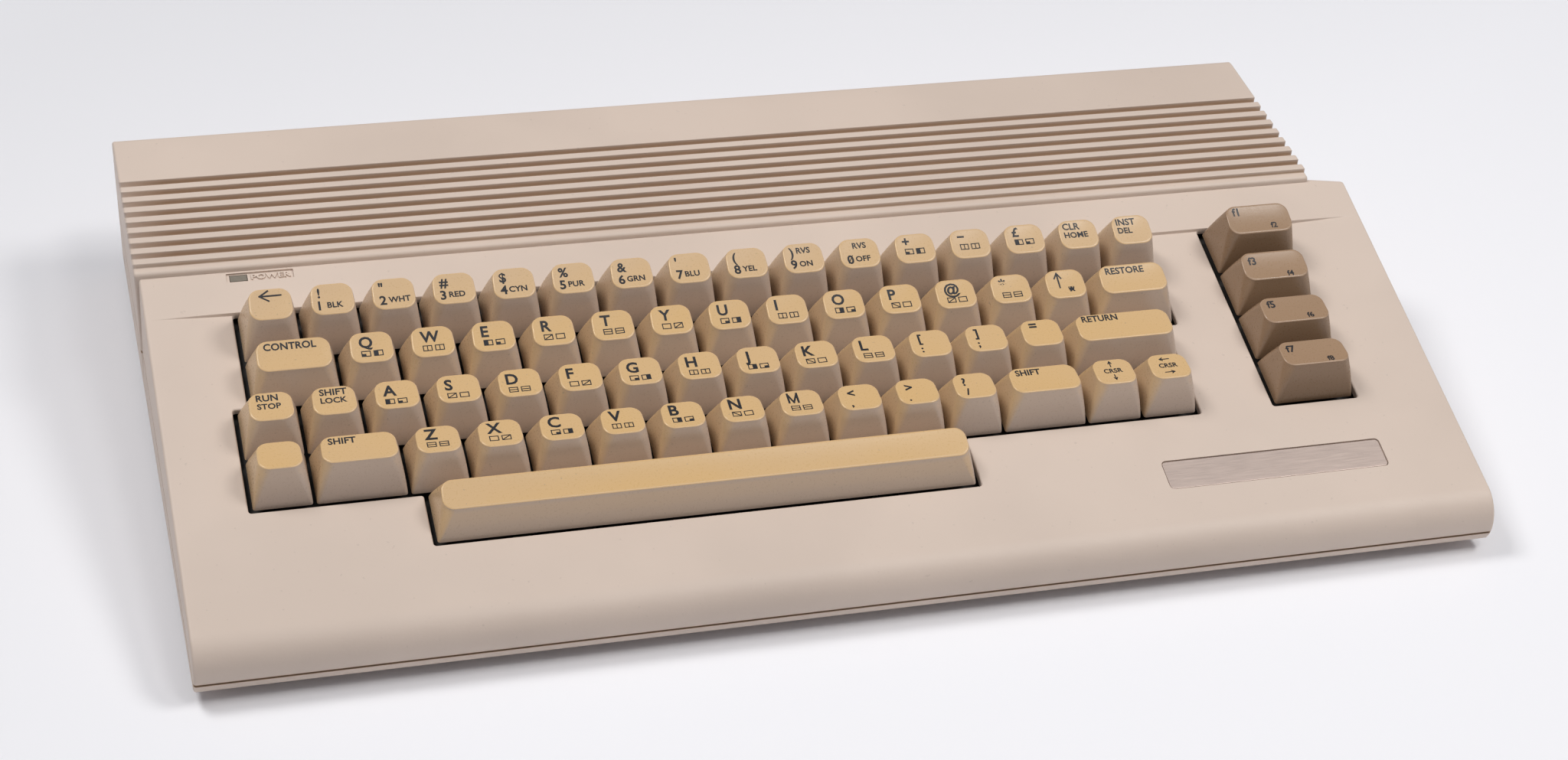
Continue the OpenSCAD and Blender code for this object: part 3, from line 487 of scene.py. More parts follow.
def close_finish(material, tree, base, rough, bump=None, bump_mm=0.02, **shader):
    """Ends a material in one Principled shader; bump is a height of 0 to 1, bump_mm deep."""
    sockets = {"Base Color": base, "Roughness": rough}
    sockets.update({name.replace("_", " "): value for name, value in shader.items()})
    if bump is not None:
        height = {"Height": bump, "Distance": bump_mm * MM, "Strength": 1.0}
        sockets["Normal"] = add_node(tree, "Bump", height)
    surface = add_node(tree, "BsdfPrincipled", sockets)
    add_node(tree, "OutputMaterial", {"Surface": surface})
    return material


def abs_skin(tree, place, rgb, grain_mm=0.9, rough=0.52):
    """Colour, roughness and height of moulded plastic. The real grain is about 0.1 mm; it is drawn
    coarser so that it shows at all."""
    cloud_mm, speck_mm = 60, 1.6
    cloud = add_node(tree, "TexNoise", {"Vector": place, "Scale": 1 / cloud_mm, "Detail": 3}, "Fac")
    cloud = add_node(tree, "MapRange", {"Value": cloud, "From Min": 0.35, "From Max": 0.65})
    tone = add_node(tree, "Mix", {SHARE: cloud, ONE: toned(rgb, 0.965), TWO: toned(rgb, 1.035)}, MIXED,
                    data_type="RGBA")
    specks = add_node(tree, "TexNoise", {"Vector": place, "Scale": 1 / speck_mm, "Detail": 1}, "Fac")
    specks = add_node(tree, "MapRange",
                      {"Value": specks, "From Min": 0.74, "From Max": 0.8, "To Max": 0.22})
    tone = add_node(tree, "Mix", {SHARE: specks, ONE: tone, TWO: toned(rgb, 0.55)}, MIXED,
                    data_type="RGBA")
    fine = add_node(tree, "TexNoise",
                    {"Vector": place, "Scale": 1 / grain_mm, "Detail": 3, "Roughness": 0.6}, "Fac")
    shine = add_node(tree, "MapRange",
                     {"Value": fine, "From Min": 0.3, "From Max": 0.7, "To Min": rough - 0.05,
                      "To Max": rough + 0.06})
    return tone, shine, fine


def moulded_abs(name, rgb, **skin):
    """ABS, nylon or PVC, injection moulded in a spark-eroded tool: a matt skin with a fine even grain,
    faint clouds and dark specks."""
    material, tree, place = new_finish(name)
    return close_finish(material, tree, *abs_skin(tree, place, rgb, **skin), IOR=ABS_IOR)


def groove_and_seam_shade_share(tree, place):
    """How much painted shade darkens each point of the case: in its grooves and along its seam."""
    x, y, z = add_node(tree, "SeparateXYZ", {0: place}).node.outputs
    ledge, rear_groove, floor = STEP_Y + LEDGE_D, REAR - REAR_BAND + GROOVE_W / 2, REAR_Z - GROOVE_DEPTH
    grooves = 1.0
    for value, clean, full in ((x, LEFT + 1, LEFT + 14), (x, RIGHT - 10, RIGHT - 14),
                               (y, ledge - 0.4, ledge), (y, rear_groove + 0.4, rear_groove + 0.1),
                               (z, REAR_Z - 0.3, REAR_Z - 1.3), (z, floor - 0.3, floor - 0.1)):
        share = add_node(tree, "MapRange", {"Value": value, "From Min": clean, "From Max": full})
        grooves = add_node(tree, "Math", {0: grooves, 1: share}, operation="MULTIPLY")
    slope, half = (SEAM_REAR_Z - SEAM_FRONT_Z) / (REAR - FRONT), SEAM_GAP / 2
    rise = add_node(tree, "Math", {0: y, 1: -slope, 2: z}, operation="MULTIPLY_ADD")
    off = add_node(tree, "Math", {0: rise, 1: seam_z(0) - half}, operation="SUBTRACT")
    off = add_node(tree, "Math", {0: off}, operation="ABSOLUTE")
    seam = add_node(tree, "MapRange", {"Value": off, "From Min": half + 0.35, "From Max": half})
    return add_node(tree, "Math", {0: grooves, 1: seam}, operation="MAXIMUM")


def case_abs_with_painted_shade(name, rgb):
    """The case's matt ABS, with brown painted shade in the grooves and the seam."""
    material, tree, place = new_finish(name)
    clean, shine, fine = abs_skin(tree, place, rgb)
    # painted shade: the grooves and the seam are darkened to this brown
    groove_and_seam_shade_tone = [c * k for c, k in zip(rgb, GROOVE_AND_SEAM_SHADE_TINT)]
    tone = add_node(tree, "Mix", {SHARE: groove_and_seam_shade_share(tree, place), ONE: clean, TWO: groove_and_seam_shade_tone}, MIXED,
                    data_type="RGBA")
    return close_finish(material, tree, tone, shine, fine, IOR=ABS_IOR)


def yellowed_share(tree, place, normal):
    """How far light has yellowed each point of a cap: what faces up and to the left, in patches, and
    less in the rear row."""
    facing = add_node(tree, "VectorMath", {0: normal, 1: SUNNY_SIDE}, "Value", operation="DOT_PRODUCT")
    patch_mm = 45
    patch = add_node(tree, "TexNoise", {"Vector": place, "Scale": 1 / patch_mm}, "Fac")
    depth = add_node(tree, "SeparateXYZ", {0: place}, "Y")
    share = 1.0
    for value, low, high, to_low, to_high in ((patch, 0.3, 0.7, 0.84, 1.0), (facing, 0.1, 0.95, 0.0, 1.0),
                                              (depth, PALE_ROW_Y - 8, PALE_ROW_Y, 1.0, 0.8)):
        part = add_node(tree, "MapRange",
                        {"Value": value, "From Min": low, "From Max": high, "To Min": to_low,
                         "To Max": to_high})
        share = add_node(tree, "Math", {0: share, 1: part}, operation="MULTIPLY")
    return share


def rim_highlight_share(tree, normal):
    """How far a painted highlight, partly finger wear, lightens each point: only the rounded rim between
    a side and the top.
    """
    upright = add_node(tree, "VectorMath", {0: normal, 1: DECK_UP}, "Value", operation="DOT_PRODUCT")
    past_side = add_node(tree, "MapRange",
                         {"Value": upright, "From Min": 0.48, "From Max": 0.68, "To Max": 0.75})
    before_top = add_node(tree, "MapRange", {"Value": upright, "From Min": 0.97, "From Max": 0.86})
    return add_node(tree, "Math", {0: past_side, 1: before_top}, operation="MULTIPLY")


def aged_cap_abs_with_painted_light(name, low, side, top):
    """ABS keycap, moulded with a fine grain: yellowed on top, with a painted highlight, partly finger
    wear, on the rim of the top, and painted shade down the sides, where the caps shade each other."""
    material, tree, place = new_finish(name)
    normal = add_node(tree, "NewGeometry", out="Normal")
    height = add_node(tree, "VectorMath", {0: place, 1: DECK_UP}, "Value", operation="DOT_PRODUCT")
    deck = Vector(DECK_UP).dot((0, DECK_Y, DECK_Z))
    # painted shade: the sides darken towards the deck
    raised = add_node(tree, "MapRange", {"Value": height, "From Min": deck + 1, "From Max": deck + 10})
    sides = add_node(tree, "Mix", {SHARE: raised, ONE: low, TWO: side}, MIXED, data_type="RGBA")
    speck_mm, grain_mm = 1.1, 0.7
    specks = add_node(tree, "TexNoise", {"Vector": place, "Scale": 1 / speck_mm, "Detail": 1}, "Fac")
    specks = add_node(tree, "MapRange",
                      {"Value": specks, "From Min": 0.74, "From Max": 0.79, "To Max": 0.35})
    # painted highlight, partly finger wear: the rim of the top is lightened towards this tone
    rim_highlight_tone = [min(c * 1.12 + 0.06, 1) for c in top]
    tone = sides
    for share, tint in ((yellowed_share(tree, place, normal), top), (specks, toned(side, 0.45)),
                        (rim_highlight_share(tree, normal), rim_highlight_tone)):
        tone = add_node(tree, "Mix", {SHARE: share, ONE: tone, TWO: tint}, MIXED, data_type="RGBA")
    fine = add_node(tree, "TexNoise",
                    {"Vector": place, "Scale": 1 / grain_mm, "Detail": 3, "Roughness": 0.6}, "Fac")
    shine = add_node(tree, "MapRange",
                     {"Value": fine, "From Min": 0.3, "From Max": 0.7, "To Min": 0.25, "To Max": 0.35})
    return close_finish(material, tree, tone, shine, fine, 0.01, IOR=ABS_IOR)


def printed_ink(name, rgb):
    """Two-part ink, pad printed: an even dark film, a little glossier than the cap."""
    material, tree, place = new_finish(name)
    spot_mm = 0.5
    spots = add_node(tree, "TexNoise", {"Vector": place, "Scale": 1 / spot_mm}, "Fac")
    tone = add_node(tree, "Mix", {SHARE: spots, ONE: toned(rgb, 0.8), TWO: toned(rgb, 1.3)}, MIXED,
                    data_type="RGBA")
    return close_finish(material, tree, tone, 0.4)


def anodised_aluminium(name, rgb):
    """Anodised aluminium sheet, brushed along its length: a soft sheen in long fine lines."""
    material, tree, place = new_finish(name)
    line_mm, stretch = 0.35, 0.04
    along = add_node(tree, "VectorMath", {0: place, 1: (stretch, 1, 1)}, operation="MULTIPLY")
    brush = add_node(tree, "TexNoise",
                     {"Vector": along, "Scale": 1 / line_mm, "Detail": 4, "Roughness": 0.7}, "Fac")
    share = add_node(tree, "MapRange", {"Value": brush, "From Min": 0.3, "From Max": 0.7})
    tone = add_node(tree, "Mix", {SHARE: share, ONE: toned(rgb, 0.9), TWO: toned(rgb, 1.08)}, MIXED,
                    data_type="RGBA")
    shine = add_node(tree, "MapRange", {"Value": share, "To Min": 0.36, "To Max": 0.5})
    return close_finish(material, tree, tone, shine, brush, 0.01, Metallic=0.55)


def plain_metal(name, rgb, rough=0.3, cloud_mm=2.0):
    """Bare or plated metal: a clean sheen with slight cloudiness from handling."""
    material, tree, place = new_finish(name)
    cloud = add_node(tree, "TexNoise", {"Vector": place, "Scale": 1 / cloud_mm, "Detail": 3}, "Fac")
    share = add_node(tree, "MapRange", {"Value": cloud, "From Min": 0.3, "From Max": 0.7})
    tone = add_node(tree, "Mix", {SHARE: share, ONE: toned(rgb, 0.86), TWO: rgb}, MIXED, data_type="RGBA")
    shine = add_node(tree, "MapRange", {"Value": share, "To Min": rough - 0.06, "To Max": rough + 0.1})
    return close_finish(material, tree, tone, shine, cloud, 0.008, Metallic=1.0)


def circuit_board_mask(name, mask, track):
    """Glass-fibre board under green solder mask: glossy, with tracks as lighter lines under it."""
    material, tree, place = new_finish(name)
    sockets = {"Vector": place, "Scale": 0.16, "Distortion": 9.0, "Detail": 1.0, "Detail Scale": 0.35}
    lines = []
    for axis in "XY":
        wave = add_node(tree, "TexWave", sockets, "Fac", bands_direction=axis)
        lines.append(add_node(tree, "MapRange", {"Value": wave, "From Min": 0.62, "From Max": 0.7}))
    share = add_node(tree, "Math", dict(enumerate(lines)), operation="MAXIMUM")
    tone = add_node(tree, "Mix", {SHARE: share, ONE: mask, TWO: track}, MIXED, data_type="RGBA")
    return close_finish(material, tree, tone, 0.28, share, 0.03, Coat_Weight=0.3)


def vulcanised_rubber(name, rgb):
    """Moulded rubber: dull, with a chalky bloom in patches."""
    material, tree, place = new_finish(name)
    bloom_mm, grain_mm = 4, 0.6
    bloom = add_node(tree, "TexNoise", {"Vector": place, "Scale": 1 / bloom_mm, "Detail": 4}, "Fac")
    share = add_node(tree, "MapRange", {"Value": bloom, "From Min": 0.45, "From Max": 0.8})
    tone = add_node(tree, "Mix", {SHARE: share, ONE: rgb, TWO: [c + 0.03 for c in rgb]}, MIXED,
                    data_type="RGBA")
    fine = add_node(tree, "TexNoise", {"Vector": place, "Scale": 1 / grain_mm, "Detail": 3}, "Fac")
    shine = add_node(tree, "MapRange",
                     {"Value": fine, "From Min": 0.3, "From Max": 0.7, "To Min": 0.7, "To Max": 0.85})
    return close_finish(material, tree, tone, shine, fine, 0.03)


def smoked_lens(name, rgb):
    """Acrylic lens, moulded over an unlit lamp: a soft gloss over a grey depth."""
    material, tree, place = new_finish(name)
    cloud_mm = 1.5
    depth = add_node(tree, "TexNoise", {"Vector": place, "Scale": 1 / cloud_mm}, "Fac")
    tone = add_node(tree, "Mix", {SHARE: depth, ONE: toned(rgb, 0.75), TWO: rgb}, MIXED, data_type="RGBA")
    return close_finish(material, tree, tone, 0.38, depth, 0.01, IOR=ACRYLIC_IOR)


def ribbon_insulation(name, rgb):
    """PVC ribbon lead: fine parallel wires show as ridges under a grey skin."""
    material, tree, place = new_finish(name)
    wires = add_node(tree, "TexWave", {"Vector": place, "Scale": 0.25}, "Fac", bands_direction="X")
    tone = add_node(tree, "Mix", {SHARE: wires, ONE: toned(rgb, 0.8), TWO: rgb}, MIXED, data_type="RGBA")
    return close_finish(material, tree, tone, 0.45, wires, 0.2)


def backdrop_paper(name, rgb):
    """Matt paper, with painted shade that darkens it away from the lights. Where it is too far away for
    them, the camera sees an even pale tone."""
    material, tree, place = new_finish(name)
    away = add_node(tree, "VectorMath", {0: place, 1: (-0.7, 1, 0)}, "Value", operation="DOT_PRODUCT")
    # painted shade: the paper darkens towards the rear and the left
    painted_dimming = add_node(tree, "MapRange", {"Value": away, "From Min": -60, "From Max": 420})
    tone = add_node(tree, "Mix", {SHARE: painted_dimming, ONE: rgb, TWO: toned(rgb, 0.86)}, MIXED, data_type="RGBA")
    paper = add_node(tree, "BsdfPrincipled", {"Base Color": tone, "Roughness": 0.85})
    distance = add_node(tree, "VectorMath", {0: place}, "Value", operation="LENGTH")
    far = add_node(tree, "MapRange", {"Value": distance, "From Min": 330, "From Max": 1000})
    seen = add_node(tree, "LightPath", out="Is Camera Ray")
    share = add_node(tree, "Math", {0: far, 1: seen}, operation="MULTIPLY")
    pale = add_node(tree, "Emission", {"Color": linear(FAR_TONE)})
    surface = add_node(tree, "MixShader", {0: share, 1: paper, 2: pale})
    add_node(tree, "OutputMaterial", {"Surface": surface})
    return material


FINISHES = {}
# what the painted shade in the grooves and the seam leaves of a colour's red, green and blue
GROOVE_AND_SEAM_SHADE_TINT = (0.74, 0.64, 0.53)
# the way that the yellowed faces look
SUNNY_SIDE = (-0.5, 0.0, 1.0)
# from here to the rear the tops are less yellow
PALE_ROW_Y = DECK_Y + 3.1 * PITCH


def make_finishes():
    """Makes each finish once, from the settings."""
    case, keys = bpy.context.scene.case_settings, bpy.context.scene.key_settings
    # painted shade: each cap's lower sides, and the function caps' sides, are darker copies of its colour
    shaded_low_brown, shaded_side_brown = toned(keys.brown, 0.6), toned(keys.brown, 0.75)
    FINISHES.update({
        "case": case_abs_with_painted_shade("case_abs", case.plastic),
        "cap": aged_cap_abs_with_painted_light("cream_cap_abs", toned(keys.cream, 0.88), keys.cream, keys.sunned),
        "brown_cap": aged_cap_abs_with_painted_light("brown_cap_abs", shaded_low_brown, shaded_side_brown, keys.brown),
        "ink": printed_ink("legend_ink", keys.ink),
        "frame": moulded_abs("black_frame_abs", linear("#2E2B29"), rough=0.55),
        "socket": moulded_abs("black_socket_nylon", linear("#26262A"), rough=0.45, grain_mm=0.6),
        "switch": moulded_abs("black_switch_nylon", linear("#1D1D1F"), rough=0.38, grain_mm=0.6),
        "latch": moulded_abs("pale_switch_nylon", linear("#D5CEBF"), rough=0.45),
        "plate": anodised_aluminium("plate_aluminium", linear("#C8B7AE")),
        "steel": plain_metal("spring_steel", linear("#B6B8BB"), 0.26),
        "tin": plain_metal("tinned_sheet", linear("#BEBFBF"), 0.34, 9.0),
        "screw": plain_metal("zinc_plated_screw", linear("#A9ABAD")),
        "gold": plain_metal("gold_flashed_contact", linear("#D8B25A"), 0.25),
        "board": circuit_board_mask("solder_mask", linear("#2F5B37"), linear("#4F7D4B")),
        "key_board": circuit_board_mask("keyboard_solder_mask", linear("#4A5F35"), linear("#71824F")),
        "chip": moulded_abs("chip_epoxy", linear("#2A2A2C"), rough=0.5, grain_mm=0.5),
        "capacitor": moulded_abs("capacitor_sleeve_pvc", linear("#2F4A78"), rough=0.3),
        "rubber": vulcanised_rubber("foot_rubber", linear("#2A2827")),
        "lens": smoked_lens("lamp_acrylic", linear("#878074")),
        "ribbon": ribbon_insulation("ribbon_pvc", linear("#9AA0A6")),
        "lead": moulded_abs("lead_pvc", linear("#8B2F2B"), rough=0.35),
    })


CAD_FINISHES = {
    "keyboard_frame": "frame", "keyboard_board": "key_board", "keyboard_cable": "ribbon",
    "lamp_lead": "lead", "shift_lock_switch": "latch", "space_bar_wire": "steel", "main_board": "board",
    "board_chips": "chip", "board_capacitors": "capacitor", "heat_shield": "tin", "modulator_box": "tin",
    "channel_slider": "switch", "cartridge_socket": "socket", "din_sockets": "socket",
    "joystick_sockets": "tin", "power_switch_body": "switch",
}


def paint_frame_nodes():
    """Gives the nodes that stay as they are their finish."""
    for node, finish in CAD_FINISHES.items():
        mesh = frame["nodes"][node].data
        mesh.materials.clear()
        mesh.materials.append(FINISHES[finish])


# ---- case ----
# across the deck: where the dish starts at each side, and where it has its full depth
DISH_LEFT, DISH_RIGHT = (-26.5, -1.3), (385.0, 361.8)
# up the deck: where the dish starts, its deepest line behind the keys, and the top of the step there
DISH_START, DISH_FOOT, DISH_CREST = -0.76, 77.0, 77.4
# edge radii of the case: behind the deck, at the step, in the ledge, in the grooves, at the foot of the
# rear, and at the ends of the rear section
SHOULDER_R, STEP_R, LEDGE_R, GROOVE_R, HEEL_R, END_R = 1.8, 1.3, 0.35, 0.4, 1.6, 0.8
LEAST_R = 0.1
# how far the rear section runs on under the deck
REAR_LAP = 20


def relief(x, s):
    """Height of the deck above its plane: a shallow dish, deepest at a low step behind the keys."""
    dish = bpy.context.scene.case_settings.dish / MM
    (left, full_left), (right, full_right) = DISH_LEFT, DISH_RIGHT
    across = min(max((x - left) / (full_left - left), 0), max((x - right) / (full_right - right), 0), 1)
    if s < DISH_FOOT:
        along = (s - DISH_START) / (DISH_FOOT - DISH_START)
    else:
        along = smooth((DISH_CREST - s) / (DISH_CREST - DISH_FOOT))
    return -dish * across * min(max(along, 0), 1)


def deck_yz(s, n):
    """y and z of a place s up the deck and n above it."""
    return DECK_Y + s * COS - n * SIN, DECK_Z + s * SIN + n * COS


def front_ring(x, inset, with_relief=True):
    """Outline of the keyboard section at one x, pulled in all round."""
    floor, back = FOOT_H + inset, SHOULDER_Y - inset - SHOULDER_SLANT * max(x - SOCKET_X, 0)
    radius = NOSE_R - inset
    top, ahead = ((y, deck_top(y) - inset / COS) for y in (back, back - 30))
    ring = [(back, floor), *fillet((back, floor), top, ahead, max(SHOULDER_R - inset, LEAST_R))]
    # down the deck: the step behind the keys, the dish, and the flat part in front of it
    step, dish, flat = steps(DISH_CREST, DISH_FOOT, 4), steps(71, DISH_START, 12), steps(-8, -34, 3)
    for s in (DISH_CREST + 0.5, *step, *dish, *flat):
        ring.append(deck_yz(s, (relief(x - KEYS_X, s) if with_relief else 0) - inset))
    foot = math.degrees(math.asin((NOSE_Z - floor) / radius))
    ring += arc((NOSE_Y, NOSE_Z), radius, 90 + TILT, 176 + foot, 18)
    ring.append((NOSE_Y - radius * math.cos(math.radians(foot)) + 0.7, floor))
    return [(x, y, z) for y, z in ring]


def end_insets(radius, count=6):
    """(distance from the end, inset) along a rounded edge."""
    angles = steps(0, math.pi / 2, count)
    return [(radius * (1 - math.cos(a)), radius * (1 - math.sin(a))) for a in angles]


def keyboard_section():
    """The wedge under the deck, with rounded sides, the dish and its step."""
    rounding = end_insets(bpy.context.scene.case_settings.side_round / MM)
    fades = [*steps(*DISH_LEFT, 12), *steps(*reversed(DISH_RIGHT), 10)]
    rings = [front_ring(LEFT + LEFT_INSET + d, inset) for d, inset in rounding]
    rings += [front_ring(KEYS_X + x, 0) for x in fades]
    rings += [front_ring(RIGHT - d, inset) for d, inset in reversed(rounding)]
    return Shape().loft(rings).piece("keyboard_section")


def left_lean(z):
    """How far the left end of the rear section stands in at a height; its foot meets the wedge's side."""
    return LEFT_INSET * (REAR_Z - z) / (REAR_Z - FOOT_H)


def right_lean(z):
    """The right end leans to the left above the socket bay."""
    return -RIGHT_LEAN * max(z - BAY_ROOF_Z, 0) / (REAR_Z - BAY_ROOF_Z)


def no_lean(z):
    """An upright end, for rear_ring."""
    return 0


def rear_ring(x, inset, lap=REAR_LAP, lean=no_lean):
    """Outline of the ribbed rear section at one x, pulled in all round; lap runs on under the deck."""
    rib = max(bpy.context.scene.case_settings.rib_round / MM - inset, 0.05)
    top, ledge, floor, back = REAR_Z - inset, REAR_Z - LEDGE_DROP - inset, FOOT_H + inset, REAR - inset
    half, step = GROOVE_W / 2 + inset, STEP_Y + inset
    start, under = step - lap, deck_top(step)
    corners = [(start, floor), (start, deck_top(start) - 3), (step - min(lap, 1), under - 2.5),
               (step, under - 0.6), (step + 0.25, ledge), (step + LEDGE_D, ledge), (step + LEDGE_D, top)]
    radii = [0, 0, 0, 0, max(STEP_R - inset, LEAST_R), LEDGE_R, rib]
    for i in reversed(range(GROOVES)):
        middle, low = REAR - REAR_BAND - i * GROOVE_PITCH, top - GROOVE_DEPTH
        corners += [(middle - half, top), (middle - half, low)]
        corners += [(middle + half, low), (middle + half, top)]
        radii += [rib, GROOVE_R, GROOVE_R, rib]
    corners += [(back, top), (back, floor)]
    radii += [REAR_R - inset, max(HEEL_R - inset, LEAST_R)]
    return [(x + lean(z), y, z) for y, z in rounded(corners, radii)]


def rear_section():
    """The ribbed box behind the deck; its left end stands free, so it doesn't lap under the deck."""
    rounding = end_insets(END_R, 4)
    rings = [rear_ring(LEFT + d, inset, 0, left_lean) for d, inset in rounding]
    rings += [rear_ring(LEFT + 3, 0, 0), rear_ring(LEFT + 4, 0)]
    rings += [rear_ring(SOCKET_X - d, inset, lean=right_lean) for d, inset in reversed(rounding)]
    return Shape().loft(rings).piece("rear_section")


def bay_cutter(wall):
    """The space of the socket bay, with a wall round it."""
    low, high = (SOCKET_X - wall, BAY_Y - wall, -PAST), (RIGHT + PAST, REAR + PAST, BAY_ROOF_Z + wall)
    return Shape().box(low, high).piece("bay")


def case_block():
    """The whole case as one solid block."""
    return carve(carve(keyboard_section(), rear_section(), "UNION"), bay_cutter(0))


def case_hollow():
    """The space inside the case."""
    left = LEFT + LEFT_INSET + WALL
    front = Shape().loft([front_ring(x, WALL, False) for x in (left, RIGHT - WALL)]).piece("front_hollow")
    start, back, floor, roof = STEP_Y - 18, REAR - WALL, FOOT_H + WALL, REAR_Z - WALL
    step, band = STEP_Y + WALL, REAR - REAR_BAND + GROOVE_W + WALL
    under = deck_top(start) - WALL / COS - 1
    outline = [(start, floor), (back, floor), (back, roof), (band, roof), (band, roof - GROOVE_DEPTH),
               (step, roof - GROOVE_DEPTH), (step, under + 4.4), (start, under)]
    rear = Shape().loft([[(x, y, z) for y, z in outline] for x in (left, SOCKET_X - WALL)])
    return carve(carve(front, rear.piece("rear_hollow"), "UNION"), bay_cutter(WALL))


def below_seam(gap):
    """Everything below the seam, lowered by a gap."""
    y0, y1 = FRONT - PAST, REAR + PAST
    outline = [(y0, -PAST), (y1, -PAST), (y1, seam_z(y1) - gap), (y0, seam_z(y0) - gap)]
    rings = [[(x, y, z) for y, z in outline] for x in (LEFT - PAST, RIGHT + PAST)]
    return Shape().loft(rings).piece("below_seam")


def key_opening_outlines():
    """Outlines of the main opening and the function keys' opening, anticlockwise."""
    g, half = OPENING_GAP, 2 * PITCH
    left3, right3 = -ROW_SHIFT - g, (MAIN_UNITS - 0.25) * PITCH + g
    left1, right1 = -g, MAIN_UNITS * PITCH + g
    space0, space1 = SPACE_START * PITCH - g, (SPACE_START + SPACE_UNITS) * PITCH + g
    main = [(left3, -g), (space0, -g), (space0, -PITCH - g), (space1, -PITCH - g), (space1, -g),
            (right3, -g), (right3, half - g), (right1, half - g), (right1, 4 * PITCH + g),
            (left1, 4 * PITCH + g), (left1, half + g), (left3, half + g)]
    x0, x1 = FUNCTION_X - g, FUNCTION_X + FUNCTION_UNITS * PITCH + g
    return main, [(x0, -g), (x1, -g), (x1, 4 * PITCH + g), (x0, 4 * PITCH + g)]


def key_opening(corners, name):
    """Cutter for an opening: straight walls, and a rim that is rounded over at the deck's surface."""
    rim, corner_r = bpy.context.scene.case_settings.rim / MM, 0.9
    rows = [(0.0, -14.0)]
    rows += [(rim * (1 - math.cos(a)), -rim * (1 - math.sin(a))) for a in steps(0, math.radians(84), 5)]
    rows.append((rows[-1][0], 8.0))
    rings = []
    for out, depth in rows:
        radii = [corner_r + out if turning(corners, i) > 0 else max(corner_r - out, 0.2)
                 for i in range(len(corners))]
        outline = rounded(grown(corners, out), radii)
        rings.append([(x, s, depth + relief(x, s)) for x, s in outline])
    return Shape().loft(rings).moved(DECK).piece(name)


def wall_cutters():
    """Cutters for the sockets in the rear wall and in the wall of the bay."""
    deep, out = 8, 2
    made = []
    for centre, width, low, high in REAR_OPENINGS:
        outline = rounded_box((centre - width / 2, low), (centre + width / 2, high), OPENING_R)
        made.append(Shape().loft([[(x, y, z) for x, z in outline] for y in (REAR - deep, REAR + out)]))
    for y0, z0, half_y, half_z in BAY_OPENINGS:
        outline = rounded_box((y0 - half_y, z0 - half_z), (y0 + half_y, z0 + half_z), OPENING_R)
        rings = [[(x, y, z) for y, z in outline] for x in (SOCKET_X - deep, SOCKET_X + out)]
        made.append(Shape().loft(rings))
    round_places = [to(x, REAR, DIN_Z) @ TO_REAR for x in (VIDEO_X, SERIAL_X)]
    round_places.append(to(SOCKET_X, POWER_Y, DIN_Z) @ TO_RIGHT)
    return made + [rod(DIN_HOLE_R, -deep, out, 48).moved(place) for place in round_places]


def carve_all(piece, shapes, how="DIFFERENCE"):
    """Carves a piece with each shape in turn."""
    for i, shape in enumerate(shapes):
        carve(piece, shape.piece(f"tool_{i}"), how)
    return piece


def lamp_cutters():
    """The shallow recess for the lamp and its word, and the lamp's own hole through the deck."""
    low, high = LAMP_RECESS
    outline = rounded_box((low, LAMP_S - 0.6), (high, LAMP_S + LAMP_D + 0.4), 0.35)
    recess = Shape().prism(outline, -LAMP_SINK, 3)
    hole = Shape().box((LAMP_X, LAMP_S, -9), (LAMP_X + LAMP_W, LAMP_S + LAMP_D, 2))
    return [recess.moved(DECK), hole.moved(DECK)]


def nameplate_cutter():
    """The recess for the nameplate."""
    x, s, w, d = NAMEPLATE
    return Shape().prism(rounded_box((x, s), (x + w, s + d), NAMEPLATE_R), -NAMEPLATE_SINK, 3).moved(DECK)


def top_bosses():
    """Screw bosses and keyboard posts; each ends inside the wall above it."""
    in_wall, post_r = WALL / 2, 3
    made = []
    for x, y in CASE_SCREWS:
        low, roof = max(seam_z(y) + 0.3, FOOT_H + WALL), REAR_Z if y > STEP_Y else deck_top(y)
        made.append(rod(BOSS_R, low, roof - in_wall).moved(to(x, y)))
    return made + [rod(post_r, PLATE_N, -in_wall).moved(DECK @ to(x, s)) for x, s in KEYBOARD_POSTS]


def screw_pilots():
    """Holes up the bosses for the screws' threads."""
    pilot_r = 1.2
    return [rod(pilot_r, FOOT_H, REAR_Z - 12 if y > STEP_Y else deck_top(y) - WALL - 1).moved(to(x, y))
            for x, y in CASE_SCREWS]


def bottom_posts():
    """Posts under the main board, and the lower ends of the screw bosses."""
    post_r = 3.5
    made = [rod(post_r, FOOT_H + 1, BOARD_Z).moved(to(x, y)) for x, y in BOARD_POSTS]
    for x, y in CASE_SCREWS:
        made.append(rod(BOSS_R, FOOT_H + 1, seam_z(y - BOSS_R) - 0.2).moved(to(x, y)))
    return made


def bottom_cutters():
    """Screw wells, foot recesses and cooling slots with rounded ends."""
    well = [(3.7, 0), (3.7, FOOT_H + 0.01), (3.4, FOOT_H + 0.3), (3.4, FOOT_H + SCREW_SINK)]
    made = []
    for x, y in CASE_SCREWS:
        made += [turned(well).moved(to(x, y)), rod(1.8, FOOT_H, REAR_Z).moved(to(x, y))]
    for x, y in FEET:
        made.append(rod(6.5, FOOT_H - 1, FOOT_H + FOOT_SINK, 48).moved(to(x, y)))
    slot_w, slot_d, slot_pitch = 3, 34, 8
    x = BOARD_X0 + 50
    while x <= BOARD_X1 - 60:
        for y in (BOARD_Y0 + 24, BOARD_Y0 + 78):
            outline = rounded_box((x, y), (x + slot_w, y + slot_d), 1.4)
            made.append(Shape().prism(outline, 0, FOOT_H + WALL + 1))
        x += slot_pitch
    return made


def copy_of(piece):
    """A second piece with its own mesh."""
    return put_in_scene(piece.name, piece.data.copy())


def finish_half(half, name, node):
    """Names, paints and smooths a half of the case, and lets it stand for its node."""
    half.name = name
    half.data.materials.clear()
    half.data.materials.append(FINISHES["case"])
    shade(half)
    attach(half, "case")
    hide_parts(node)


